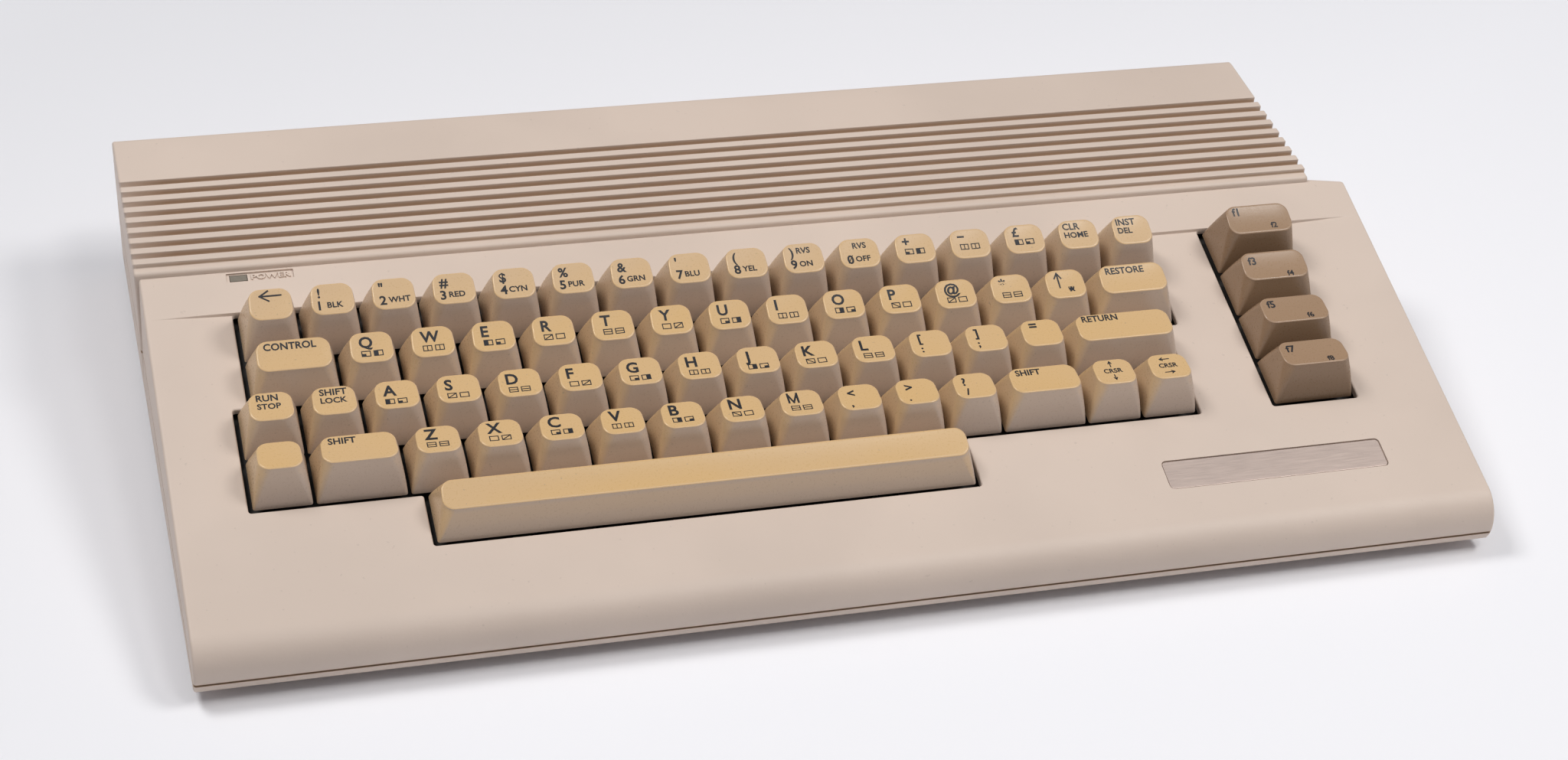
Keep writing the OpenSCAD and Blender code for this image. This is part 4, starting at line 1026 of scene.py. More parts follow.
class COMPUTER_OT_case(bpy.types.Operator):
    """Build both halves of the case"""
    bl_idname = "computer.case"
    bl_label = "Case"

    def execute(self, context):
        upper, hollow = case_block(), case_hollow()
        lower, lower_hollow = copy_of(upper), copy_of(hollow)

        carve(upper, below_seam(0))
        carve(upper, hollow)
        carve_all(upper, top_bosses(), "UNION")
        for i, corners in enumerate(key_opening_outlines()):
            carve(upper, key_opening(corners, f"key_opening_{i}"))
        carve_all(upper, [nameplate_cutter(), *lamp_cutters(), *wall_cutters(), *screw_pilots()])
        finish_half(upper, "top_shell", "top_case")

        carve(lower, below_seam(SEAM_GAP), "INTERSECT")
        carve(lower, lower_hollow)
        carve_all(lower, bottom_posts(), "UNION")
        carve_all(lower, wall_cutters() + bottom_cutters())
        finish_half(lower, "bottom_shell", "bottom_case")
        return {"FINISHED"}


# ---- keycaps ----
def cap_plane(form, y):
    """Height of a cap's sloping top, y behind the middle of the key."""
    return form[0] + (y - form[1]) * math.tan(math.radians(form[2]))


# the cap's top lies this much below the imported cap's, so that the ink stays inside it
INK_ROOM, INK_UP, INK_DOWN = 0.07, 0.05, 0.06
BASE_CORNER_R = 0.8
# a ring has this many steps round each corner and along each side
CORNER_STEPS, SIDE_STEPS = 6, 6
# how far up the side each ring lies, and the size of each ring of the top face
SIDE_SHARES = (0, 0.06, 0.22, 0.4, 0.58, 0.76, 0.9, 1.0)
TOP_SHARES = (0.93, 0.84, 0.73, 0.6, 0.45, 0.3, 0.14)
# the sides lean in more towards the top: at a share t of their height they are in by t to this power
SIDE_CURVE = 1.25


class Cap:
    """One keycap: its middle in the deck's frame, its width in units and the form of its row."""

    def __init__(self, x, s, units, form, top_w=None, top_d=CAP_TOP_D):
        self.x, self.s, self.form = x, s, form
        self.w, self.d = units * PITCH - CAP_GAP, PITCH - CAP_GAP
        self.top_w = (top_w or CAP_TOP_W + (units - 1) * PITCH) + RIM_W
        self.top_d = top_d * math.cos(math.radians(form[2])) + RIM_D
        self.back = form[1] - RIM_D / 2
        keys = bpy.context.scene.key_settings
        self.edge, self.corner, self.dish = keys.edge / MM, keys.corner / MM, keys.dish / MM

    def surface(self, x, y):
        """Height of the top face, dished between its edges."""
        across = min(abs(2 * x / self.top_w), 1) ** (2 if self.top_w < 20 else 6)
        along = min(abs(2 * (y - self.back) / self.top_d), 1) ** 2
        return cap_plane(self.form, y) - INK_ROOM - self.dish * (1 - across) * (1 - along)

    def ring(self, half_w, half_d, back, radius, height, narrow=0.0):
        """A rounded rectangle; height gives n for each point. The rear is narrower."""
        front, rear = back - half_d, back + half_d
        corners = [(-half_w, front), (half_w, front), (half_w - narrow, rear), (-half_w + narrow, rear)]
        outline = rounded(corners, [radius] * 4, CORNER_STEPS)
        made = []
        for i, (x, y) in enumerate(outline):
            made.append((x, y))
            if i % (CORNER_STEPS + 1) == CORNER_STEPS:
                next_x, next_y = outline[(i + 1) % len(outline)]
                made += [(x + (next_x - x) * k / SIDE_STEPS, y + (next_y - y) * k / SIDE_STEPS)
                         for k in range(1, SIDE_STEPS)]
        return [(x, y, height(x, y)) for x, y in made]

    def outside(self):
        """Rings from the base up the sides, over the edge and across the top."""
        rings = []
        for t in SIDE_SHARES:
            pull = t ** SIDE_CURVE
            half_w = (self.w + (self.top_w - self.w) * pull) / 2
            half_d = (self.d + (self.top_d - self.d) * pull) / 2
            radius = BASE_CORNER_R + (self.corner - BASE_CORNER_R) * t

            def side(x, y, t=t):
                return CAP_BASE_N + (self.surface(x, y) - self.edge - CAP_BASE_N) * t
            rings.append(self.ring(half_w, half_d, self.back * pull, radius, side, CAP_NARROW / 2 * pull))
        for a in steps(0, math.pi / 2, 5)[1:]:
            inset, drop = self.edge * (1 - math.cos(a)), self.edge * (1 - math.sin(a))
            rings.append(self.ring(self.top_w / 2 - inset, self.top_d / 2 - inset, self.back,
                                   self.corner - inset * 0.8,
                                   lambda x, y, drop=drop: self.surface(x, y) - drop, CAP_NARROW / 2))
        edge_ring = rings[-1]
        for share in TOP_SHARES:
            ring = [(x * share, self.back + (y - self.back) * share) for x, y, _ in edge_ring]
            rings.append([(x, y, self.surface(x, y)) for x, y in ring])
        return rings

    def inside(self):
        """Rings of the hollow, from the base up to the ceiling."""
        rings = []
        for t in (0, 0.5, 1):
            half_w = (self.w - 2 * CAP_WALL) / 2 * (1 - t) + (self.top_w / 2 - 1.5) * t
            half_d = (self.d - 2 * CAP_WALL) / 2 * (1 - t) + (self.top_d / 2 - 1.2) * t

            def height(x, y, t=t):
                top = cap_plane(self.form, y) - CAP_CEILING - self.dish
                return CAP_BASE_N + (top - CAP_BASE_N) * t
            rings.append(self.ring(half_w, half_d, self.back * t, BASE_CORNER_R + 0.6 * t, height))
        return rings

    def solid(self, finish=0):
        """The hollow cap, open at the bottom, as one closed skin."""
        made = Shape().loft(list(reversed(self.inside())) + self.outside(), finish)
        boss, boss_top = 3.4, self.form[0] - CAP_CEILING - 0.6
        made.join(Shape().box((-boss, -boss, FLANGE_N), (boss, boss, boss_top), finish))
        return made.moved(to(self.x, self.s))

    def plunger(self, finish):
        """The sprung plunger under the cap: flange, stem and post."""
        flange, stem, post = 4.85, STEM_W / 2, 1.7
        low, high = FLANGE_N - FLANGE_T, FLANGE_N - 0.05
        rows = [(stem - 0.35, STEM_END_N), (stem, STEM_END_N + 0.5), (stem, low), (flange - 0.2, low),
                (flange, low + 0.2), (flange, high - 0.2), (flange - 0.2, high), (post, high),
                (post, high + 3.2), (post - 0.3, high + 3.6)]
        rings = [[(x, y, n) for x, y in rounded_box((-h, -h), (h, h), 0.3, 2)] for h, n in rows]
        return Shape().loft(rings, finish).moved(to(self.x, self.s))

    def print_on(self, marks, finish):
        """Thin ink solids, laid on the dished top. Marks are flat solids from -1 to 1 high."""
        ink = Shape()
        ink.faces, ink.finishes = list(marks.faces), [finish] * len(marks.faces)
        for p in marks.points:
            n = self.surface(p.x, p.y) + (INK_UP if p.z > 0 else -INK_DOWN)
            ink.points.append(Vector((self.x + p.x, self.s + p.y, n)))
        return ink


# ---- legends ----
GLYPHS = {}
# height of a capital for a text size of 1
CAPITAL = 0.727
BOLD = 0.035
# heights of the small words, the words on wide keys, and the digits
SMALL, WORD, DIGIT = 2.05, 2.4, 3.25
# where a letter starts, its baseline and height, and where the tiles below it stand, for each row
LETTER_PLACES = {1: (-3.95, 1.6, 3.4, -1.6), 2: (-3.7, 1.45, 3.9, -1.9), 3: (-4.2, 0.65, 4.1, -2.8),
                 4: (-4.0, 1.5, 4.25, -1.8)}
# the left ends of the two tiles, from the letter's
TILE_STEPS = (0.3, 4.1)
TILE_W, TILE_D, TILE_LINE = 2.95, 2.15, 0.3


def lettering(text, height, bold=BOLD):
    """Flat letters from the built-in sans, standing at the origin, as a solid from -1 to 1.
    bold is how far each stroke grows on each side, as a share of the height."""
    key = (text, height, bold)
    if key not in GLYPHS:
        curve = bpy.data.curves.new("lettering", "FONT")
        curve.body, curve.size, curve.extrude = text, height / CAPITAL, 1.0
        curve.resolution_u, curve.offset, curve.space_character = 3, bold * height, 1.02
        holder = put_in_scene("lettering", curve)
        mesh = finished_mesh(holder)
        bpy.data.objects.remove(holder)
        left = min((v.co.x for v in mesh.vertices), default=0)
        GLYPHS[key] = ([Vector((v.co.x - left, v.co.y, v.co.z)) for v in mesh.vertices],
                       [tuple(p.vertices) for p in mesh.polygons])
        bpy.data.meshes.remove(mesh)
        bpy.data.curves.remove(curve)
    shape = Shape()
    points, faces = GLYPHS[key]
    shape.points = [p.copy() for p in points]
    for corners in faces:
        shape.face(corners)
    return shape


def width_of(shape):
    """How far a shape reaches in x."""
    return max(p.x for p in shape.points) - min(p.x for p in shape.points)


def at(shape, x, y):
    """Moves a legend to its place on the cap."""
    return shape.moved(to(x, y))


def bar(x0, y0, x1, y1, width):
    """A straight stroke between two points."""
    along = (Vector((x1, y1)) - Vector((x0, y0))).normalized() * width / 2
    side = Vector((-along.y, along.x))
    corners = [Vector((x0, y0)) - along + side, Vector((x0, y0)) - along - side,
               Vector((x1, y1)) + along - side, Vector((x1, y1)) + along + side]
    return Shape().prism([tuple(c) for c in corners], -1, 1)


def arrow(x, y, dx, dy, head, width=0.42):
    """An arrow from a point, with two strokes at its tip."""
    made = bar(x, y, x + dx, y + dy, width)
    back = -Vector((dx, dy)).normalized() * head
    for turn in (32, -32):
        barb = Matrix.Rotation(math.radians(turn), 2) @ back
        made.join(bar(x + dx, y + dy, x + dx + barb.x, y + dy + barb.y, width))
    return made


def tile(x, y, number):
    """A small framed tile. The number picks a plain filling: a quarter, a half, a line or nothing."""
    line, right, rear = TILE_LINE, TILE_W - TILE_LINE, TILE_D - TILE_LINE
    made = Shape()
    for low, high in (((0, 0), (TILE_W, line)), ((0, rear), (TILE_W, TILE_D)), ((0, line), (line, rear)),
                      ((right, line), (TILE_W, rear))):
        made.join(Shape().box((*low, -1), (*high, 1)))
    middle_x, middle_y = TILE_W / 2, TILE_D / 2
    kind, turn = number % 6, number // 6 % 2
    x0, x1 = ((line, middle_x), (middle_x, right))[turn]
    if kind == 0:
        made.join(Shape().box((x0, line, -1), (x1, middle_y, 1)))
    elif kind == 1:
        made.join(Shape().box((middle_x - line / 2, line, -1), (middle_x + line / 2, rear, 1)))
    elif kind == 2:
        made.join(Shape().box((x0, line, -1), (x1, rear, 1)))
    elif kind == 3:
        made.join(bar(line, (line, rear)[turn], right, (rear, line)[turn], line))
    elif kind == 4:
        made.join(Shape().box((line, middle_y - line / 2, -1), (right, middle_y + line / 2, 1)))
    return at(made, x, y)


def letter_marks(row, text, number):
    """A large letter with two tiles below it; number picks their fillings."""
    left, base, height, tiles = LETTER_PLACES[row]
    made = at(letter_m(height) if text == "M" else lettering(text, height), left, base)
    for step, filling in zip(TILE_STEPS, (number, number * 5 + 2)):
        made.join(tile(left + step, tiles, filling))
    return made


def letter_m(height):
    """The letter M from four strokes; the font's own outline crosses itself when it grows."""
    width, stroke = 0.86 * height, 0.15 * height
    low, high, right = stroke / 2, height - stroke / 2, width - stroke / 2
    made = bar(low, low, low, high, stroke).join(bar(right, low, right, high, stroke))
    for x in (low, right):
        made.join(bar(x, high, width / 2, low, stroke * 0.9))
    return made


def marks(*words):
    """Words or signs on one cap; each is its text, its height, and its left end and baseline."""
    made = Shape()
    for text, height, x, y in words:
        made.join(at(lettering(text, height), x, y))
    return made


def digit_marks(digit, sign, word):
    """A digit with its sign above it and a word beside it."""
    return marks((sign, DIGIT, -4.4, 1.2), (digit, DIGIT, -4.6, -3.2), (word, SMALL, -1.8, -2.5))


def word_marks(word, left):
    """One word along the rear of a wide cap."""
    return marks((word, WORD, left, 3.5))


def two_words(row, upper, lower):
    """Two words, one above the other, placed for row 1 or row 3."""
    left, high, low = (-5.0, 2.45, -0.6) if row == 1 else (-4.15, 3.15, 0.05)
    return marks((upper, 2.38, left, high), (lower, 2.15, left, low))


def pair_marks(upper, lower):
    """A sign with another below it."""
    return marks((upper, 3.3, -3.6, 1.7), (lower, 3.0, -3.5, -2.6))


def cursor_marks(up_down):
    """A word between two arrows, which point up and down or left and right."""
    line = 0.34
    if up_down:
        arrows = ((-0.4, 3.6, 0, 2.2, 1.0), (-0.4, -0.1, 0, -2.2, 1.0))
    else:
        arrows = ((0.9, 4.6, -3.2, 0, 1.1), (-2.2, -1.3, 3.2, 0, 1.1))
    made = marks(("CRSR", 1.9, -3.4, 0.9))
    for place in arrows:
        made.join(arrow(*place, line))
    return made


def nine_marks():
    """The digit 9 with its sign and its two words."""
    return marks((")", DIGIT, -4.4, 1.2), ("9", DIGIT, -4.6, -3.2), ("RVS", SMALL, -1.9, 2.4),
                 ("ON", SMALL, -1.7, -2.5))


def zero_marks():
    """The digit with a stroke through it, and its words."""
    made = marks(("0", DIGIT, -4.6, -3.2), ("RVS", SMALL, -1.9, 2.4), ("OFF", SMALL, -1.7, -2.5))
    return made.join(bar(-4.3, -2.9, -2.6, -0.2, 0.3))


def up_arrow_marks():
    """A tall arrow with a sign beside it."""
    return arrow(-2.2, 0.2, 0, 5.4, 2.2, 0.5).join(marks(("π", 2.4, 0.6, -1.6)))


def function_marks(number):
    """The key's own number, and the next one, for the key with shift."""
    return marks((f"f{number}", 2.9, -9.0, 2.2), (f"f{number + 1}", 2.2, 3.5, -3.35))


# ---- layout ----
class Key:
    """A key's row, its start and width in units, its node, and what draws its legend."""

    def __init__(self, row, start, units, node, legend=None):
        self.row, self.start, self.units, self.node, self.legend = row, start, units, node, legend


def wide_left(units):
    """Where a word starts on a wide key, from the key's middle."""
    return -(CAP_TOP_W + (units - 1) * PITCH) / 2 + 1.9


def letter_keys(row, start, text, first):
    """A run of letter keys, each with a node of its own."""
    return [Key(row, start + i, 1, f"key_{c.lower()}", lambda c=c, i=i: letter_marks(row, c, first + i))
            for i, c in enumerate(text)]


DIGIT_WORDS = (("1", "!", "BLK"), ("2", '"', "WHT"), ("3", "#", "RED"), ("4", "$", "CYN"),
               ("5", "%", "PUR"), ("6", "&", "GRN"), ("7", "'", "BLU"), ("8", "(", "YEL"))


def key_layout():
    """Every key of the main block, row by row from the rear."""
    number, sign, command = "number_row_keys", "punctuation_keys", "command_keys"
    keys = [Key(1, 0, 1, number, lambda: arrow(3.5, 3.4, -6.6, 0, 3.2, 0.5))]
    keys += [Key(1, 1 + i, 1, number, lambda m=m: digit_marks(*m)) for i, m in enumerate(DIGIT_WORDS)]
    keys += [Key(1, 9, 1, number, nine_marks), Key(1, 10, 1, number, zero_marks)]
    keys += [Key(1, 11 + i, 1, number, lambda c=c, i=i: letter_marks(1, c, i))
             for i, c in enumerate("+−£")]
    keys += [Key(1, 14, 1, number, lambda: two_words(1, "CLR", "HOME")),
             Key(1, 15, 1, number, lambda: two_words(1, "INST", "DEL"))]
    keys += [Key(2, 0, 1.5, command, lambda: word_marks("CONTROL", wide_left(1.5))),
             *letter_keys(2, 1.5, "QWERTYUIOP", 0)]
    keys += [Key(2, 11.5 + i, 1, sign, lambda c=c, i=i: letter_marks(2, c, i + 3))
             for i, c in enumerate("@*")]
    keys += [Key(2, 13.5, 1, sign, up_arrow_marks),
             Key(2, 14.5, 1.5, command, lambda: word_marks("RESTORE", wide_left(1.5)))]
    keys += [Key(3, 0, 1, command, lambda: two_words(3, "RUN", "STOP")),
             Key(3, 1, 1, "shift_lock_key", lambda: two_words(3, "SHIFT", "LOCK")),
             *letter_keys(3, 2, "ASDFGHJKL", 2)]
    keys += [Key(3, 11 + i, 1, sign, lambda p=p: pair_marks(*p)) for i, p in enumerate(("[:", "];"))]
    keys += [Key(3, 13, 1, sign, lambda: marks(("=", 3.6, -3.6, 2.4))),
             Key(3, 14, 2, "return_key", lambda: word_marks("RETURN", wide_left(2)))]
    keys += [Key(4, 0, 1, command),
             Key(4, 1, 1.5, "left_shift_key", lambda: word_marks("SHIFT", wide_left(1.5))),
             *letter_keys(4, 2.5, "ZXCVBNM", 4)]
    keys += [Key(4, 9.5 + i, 1, sign, lambda p=p: pair_marks(*p))
             for i, p in enumerate(("<,", ">.", "?/"))]
    keys += [Key(4, 12.5, 1.5, "right_shift_key", lambda: word_marks("SHIFT", wide_left(1.5))),
             Key(4, 14, 1, command, lambda: cursor_marks(True)),
             Key(4, 15, 1, command, lambda: cursor_marks(False))]
    return keys


def key_middle(row, start, units):
    """The middle of a key in the deck's frame; the two front rows start further left."""
    left = -ROW_SHIFT if row > 2 else 0
    return left + (start + units / 2) * PITCH, (4 - row + 0.5) * PITCH


def function_key_middle(row):
    """The middle of a function key in the deck's frame."""
    return FUNCTION_X + FUNCTION_UNITS * PITCH / 2, (4 - row + 0.5) * PITCH


# the finishes of a key piece, by number
CAP, PLUNGER, INK = 0, 1, 2


def key_shape(cap, legend):
    """A cap, its plunger and its printed legend."""
    made = cap.solid(CAP).join(cap.plunger(PLUNGER))
    if legend:
        made.join(cap.print_on(legend(), INK))
    return made


def finish_keys(shape, node, cap_finish):
    """Turns keys drawn in the deck's frame into the piece that stands for their node."""
    finishes = [FINISHES[name] for name in (cap_finish, "frame", "ink")]
    piece = shape.moved(DECK).piece(f"{node}_caps", finishes)
    shade(piece, 40)
    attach(piece, node)
    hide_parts(node)


class COMPUTER_OT_keys(bpy.types.Operator):
    """Build the cream keys with their plungers and legends"""
    bl_idname = "computer.keys"
    bl_label = "Main keys"

    def execute(self, context):
        groups = {}
        for key in key_layout():
            x, s = key_middle(key.row, key.start, key.units)
            cap = Cap(x, s, key.units, ROW_FORMS[key.row - 1])
            groups.setdefault(key.node, Shape()).join(key_shape(cap, key.legend))
        for node, shape in groups.items():
            finish_keys(shape, node, "cap")
        return {"FINISHED"}


class COMPUTER_OT_function_keys(bpy.types.Operator):
    """Build the four brown function keys"""
    bl_idname = "computer.function_keys"
    bl_label = "Function keys"

    def execute(self, context):
        shape = Shape()
        for row, form in enumerate(ROW_FORMS, 1):
            cap = Cap(*function_key_middle(row), FUNCTION_UNITS, form)
            shape.join(key_shape(cap, lambda: function_marks(2 * row - 1)))
        finish_keys(shape, "function_keys", "brown_cap")
        return {"FINISHED"}


class COMPUTER_OT_space_bar(bpy.types.Operator):
    """Build the space bar with the lugs for its levelling wire"""
    bl_idname = "computer.space_bar"
    bl_label = "Space bar"

    def execute(self, context):
        width = SPACE_UNITS * PITCH - CAP_GAP
        cap = Cap(*SPACE_AT, SPACE_UNITS, SPACE_FORM, width - SPACE_TAPER, CAP_TOP_D - 1)
        shape = key_shape(cap, None)
        lug_w, lug_d, lug_h = 1.6, 4.4, 8.2
        middle_x, s = SPACE_AT
        low_n = PLATE_N - 1 + TRAVEL / 2 - lug_d / 2
        for x in (middle_x - 3 * PITCH, middle_x + 3 * PITCH):
            low, high = (x - lug_w / 2, s, low_n), (x + lug_w / 2, s + lug_d, low_n + lug_h)
            shape.join(Shape().box(low, high, CAP))
        finish_keys(shape, "space_bar", "cap")
        return {"FINISHED"}


class COMPUTER_OT_springs(bpy.types.Operator):
    """Wind a coil spring round every plunger"""
    bl_idname = "computer.springs"
    bl_label = "Key springs"

    def execute(self, context):
        places = {}
        for key in key_layout():
            places.setdefault(key.node, []).append(key_middle(key.row, key.start, key.units))
        places["function_keys"] = [function_key_middle(row) for row in (4, 3, 2, 1)]
        places["space_bar"] = [SPACE_AT]
        height = FLANGE_N - FLANGE_T - PLATE_N
        for node, spots in places.items():
            shape = Shape()
            for x, s in spots:
                shape.join(coil(height).moved(to(x, s, PLATE_N)))
            piece = shape.moved(DECK).piece(f"{node}_spring", [FINISHES["steel"]])
            shade(piece, 60)
            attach(piece, "case")
            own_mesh(piece)
            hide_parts("key_springs")
        return {"FINISHED"}


def coil(height, turns=5.5, per_turn=14, sides=6):
    """A helical spring standing on the origin; the turns at both ends are nearly closed."""
    wire, room = SPRING_WIRE / 2, 0.05
    closed_share, least_rise = 0.12, 0.08
    count = int(turns * per_turn)
    rings = []
    for share in steps(0, 1, count):
        risen = smooth((share - closed_share) / (1 - 2 * closed_share))
        rise = least_rise * share + (1 - least_rise) * risen
        z = wire + room + (height - 2 * wire - 2 * room) * rise
        turn = Matrix.Rotation(2 * math.pi * turns * share, 4, "Z")
        section = arc((0, 0), wire, 0, 360, sides)[:-1]
        rings.append([turn @ Vector((SPRING_R + x, 0, z + y)) for x, y in section])
    return Shape().loft(rings)


# ---- plate, lamp, sockets and small parts ----
def add_piece(shape, name, finish, body, slot, *nodes):
    """Turns a shape into a piece that rides on a body and stands for the given nodes."""
    piece = shade(shape.piece(name, [FINISHES[finish]]), 35)
    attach(piece, body)
    if nodes:
        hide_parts(*nodes)


def bevelled_plate(low, high, radius, bottom, top, bevel):
    """A flat plate with rounded corners and a bevelled upper edge."""
    (x0, y0), (x1, y1) = low, high
    rings = []
    for inset, n in ((0, bottom), (0, top - bevel), (bevel * 0.3, top - bevel * 0.3), (bevel, top)):
        outline = rounded_box((x0 + inset, y0 + inset), (x1 - inset, y1 - inset), radius - inset, 6)
        rings.append([(x, y, n) for x, y in outline])
    return Shape().loft(rings)


class COMPUTER_OT_nameplate(bpy.types.Operator):
    """Set the bare aluminium plate into the deck"""
    bl_idname = "computer.nameplate"
    bl_label = "Nameplate"

    def execute(self, context):
        x, s, w, d = NAMEPLATE
        gap, thick = 0.3, 0.8
        plate = bevelled_plate((x + gap, s + gap), (x + w - gap, s + d - gap), NAMEPLATE_R - gap,
                               -NAMEPLATE_SINK, -NAMEPLATE_SINK + thick, 0.2)
        add_piece(plate.moved(DECK), "nameplate_sheet", "plate", "case", "plate_metal", "nameplate")
        return {"FINISHED"}


class COMPUTER_OT_lamp(bpy.types.Operator):
    """Fit the lamp behind its window, with a raised word beside it"""
    bl_idname = "computer.lamp"
    bl_label = "Power lamp"

    def execute(self, context):
        gap, lens_end = 0.15, -WALL - 1.5
        low, high = (LAMP_X + gap, LAMP_S + gap), (LAMP_X + LAMP_W - gap, LAMP_S + LAMP_D - gap)
        lens = bevelled_plate(low, high, 0.3, lens_end, -LAMP_SINK + 0.15, 0.25)
        bulb = turned([(1.2, -9.0), (2.4, -8.6), (2.4, lens_end - 0.3), (2.2, lens_end)])
        lens.join(bulb.moved(to(LAMP_X + LAMP_W / 2, LAMP_S + LAMP_D / 2)))
        add_piece(lens.moved(DECK), "lamp_lens", "lens", "case", "lamp_lens", "power_lamp")
        word_h, swell, raised, buried = 2.05, 0.03, 0.45, 0.3
        word = lettering("POWER", word_h, swell)
        for p in word.points:
            p.z = -LAMP_SINK + (raised if p.z > 0 else -buried)
        start = LAMP_X + LAMP_W + 1.1
        stretch = (LAMP_RECESS[1] - start - 0.9) / width_of(word)
        word.moved(to(start, LAMP_S + 0.3) @ Matrix.Scale(stretch, 4, (1, 0, 0)))
        add_piece(word.moved(DECK), "lamp_word", "case", "case", "beige_case")
        return {"FINISHED"}


def cross_recess(radius, depth):
    """Cutter for a cross-slotted screw head, opening downwards at the origin; it narrows inwards."""
    arm, thick = radius * 0.62, radius * 0.16
    quarter = [(arm, thick), (thick, thick), (thick, arm)]
    corners = []
    for _ in range(4):
        corners += quarter
        quarter = [(-y, x) for x, y in quarter]
    rings = [[(x * k, y * k, z) for x, y in corners] for k, z in ((1.15, -0.2), (0.55, depth))]
    return Shape().loft(rings)


def screw_model(shank):
    """One pan-head screw with a cross slot, its head's seat at the origin and its head below."""
    head_r, head_h, shank_r = 3.0, 2.0, 1.15
    head = [(1.4, -head_h), (2.1, -1.93), (2.65, -1.7), (2.95, -1.25), (head_r, -0.7), (head_r, 0)]
    body = turned([*head, (shank_r, 0), (shank_r, shank - 0.8), (0.4, shank)], 28).piece("screw")
    return carve(body, cross_recess(head_r, 1.2).moved(to(0, 0, -head_h)).piece("slot"))


class COMPUTER_OT_screws(bpy.types.Operator):
    """Place the screws of the case, the boards and the keyboard"""
    bl_idname = "computer.screws"
    bl_label = "Screws"

    def execute(self, context):
        flip = Matrix.Rotation(math.pi, 4, "X")
        seat = FOOT_H + SCREW_SINK
        places = [(to(x, y, seat), min(seam_z(y) + 7, deck_top(y) - 2 * WALL) - seat)
                  for x, y in CASE_SCREWS]
        places += [(to(x, y, BOARD_TOP) @ flip, 5.1) for x, y in BOARD_POSTS]
        places += [(DECK @ to(x, s, PLATE_N - FRAME_T), 4.6) for x, s in KEYBOARD_POSTS]
        places += [(DECK @ to(x, s, KEYBOARD_UNDER_N), 4.6) for x, s in BOARD_PILLARS]
        work = bmesh.new()
        for matrix, shank in places:
            model = screw_model(shank)
            model.data.transform(Matrix.Scale(MM, 4) @ matrix @ Matrix.Scale(1 / MM, 4))
            work.from_mesh(model.data)
            bpy.data.objects.remove(model)
        mesh = bpy.data.meshes.new("screw_set")
        work.to_mesh(mesh)
        work.free()
        mesh.materials.append(FINISHES["screw"])
        piece = shade(put_in_scene("screw_set", mesh), 35)
        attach(piece, "case")
        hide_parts("screws")
        return {"FINISHED"}


class COMPUTER_OT_feet(bpy.types.Operator):
    """Stick on the rubber feet"""
    bl_idname = "computer.feet"
    bl_label = "Rubber feet"

    def execute(self, context):
        shape = Shape()
        profile = [(5.2, 0), (5.7, 0.12), (6.0, 0.5), (6.3, FOOT_H), (6.3, FOOT_H + FOOT_SINK)]
        for x, y in FEET:
            shape.join(turned(profile, 48).moved(to(x, y)))
        add_piece(shape, "feet_set", "rubber", "case", "foot_rubber", "rubber_feet")
        return {"FINISHED"}


class COMPUTER_OT_contacts(bpy.types.Operator):
    """Add contacts, socket shells and pins behind the openings"""
    bl_idname = "computer.contacts"
    bl_label = "Contacts and pins"

    def execute(self, context):
        add_piece(edge_fingers(), "edge_fingers", "gold", "case", "bright_steel")
        add_piece(cartridge_springs(), "cartridge_springs", "gold", "case", "bright_steel")
        add_piece(socket_shells(), "socket_shells", "tin", "case", "tinned_steel")
        add_piece(joystick_pins(), "joystick_pins", "gold", "case", "bright_steel")
        return {"FINISHED"}


def edge_fingers():
    """Gold fingers on both faces of the board's two tongues."""
    pitch, half_w, thin, sunk = 3.96, 1.1, 0.06, 0.01
    made = Shape()
    for middle, width in ((TAPE_X, 28), (USER_X, 58)):
        count = int((width - 3) / pitch)
        for i in range(count + 1):
            x = middle + (i - count / 2) * pitch
            for low in (BOARD_TOP - sunk, BOARD_Z - thin + sunk):
                made.box((x - half_w, REAR - 9, low), (x + half_w, REAR - 2, low + thin))
    return made


def cartridge_springs():
    """Two rows of bent contacts inside the cartridge socket."""
    pitch, count, half_w = 2.54, 20, 0.5
    middle_z, face = BOARD_TOP + 6.5, REAR - WALL - 0.6
    outline = [(face - 10.5, 2.25), (face - 1.5, 2.25), (face - 1.5, 1.95), (face - 4, 1.3),
               (face - 8, 1.8), (face - 10.5, 1.9)]
    made = Shape()
    for i in range(count):
        x = CARTRIDGE_X + (i - (count - 1) / 2) * pitch
        for side in (-1, 1):
            made.loft([[(x + k, y, middle_z + side * z) for y, z in outline] for k in (-half_w, half_w)])
    return made


def socket_shells():
    """A thin shell inside each round socket."""
    inner, outer, deep, back = DIN_BORE_R - 0.35, DIN_BORE_R - 0.02, 5.9, 0.7
    places = [to(x, REAR - back, DIN_Z) @ TO_REAR for x in (VIDEO_X, SERIAL_X)]
    places.append(to(SOCKET_X - back, POWER_Y, DIN_Z) @ TO_RIGHT)
    rows = [(outer, -deep), (outer, -0.15), (outer - 0.12, 0), (inner + 0.1, 0), (inner, -0.15),
            (inner, -deep)]
    rings = [disc(r, z, 48) for r, z in rows]
    made = Shape()
    for place in places:
        made.join(Shape().loft(rings + rings[:1], ends=(False, False)).moved(place))
    return made


def joystick_pins():
    """Nine pins in each joystick socket, five above four."""
    pitch, row_z = 2.77, 1.42
    made = Shape()
    for middle in JOYSTICK_YS:
        for z, count in ((JOYSTICK_Z + row_z, 5), (JOYSTICK_Z - row_z, 4)):
            for i in range(count):
                pin = turned([(0.5, 0), (0.5, 5.6), (0.2, 6.2)], 12)
                y = middle + (i - (count - 1) / 2) * pitch
                made.join(pin.moved(to(SOCKET_X - 9, y, z) @ TO_RIGHT))
    return made


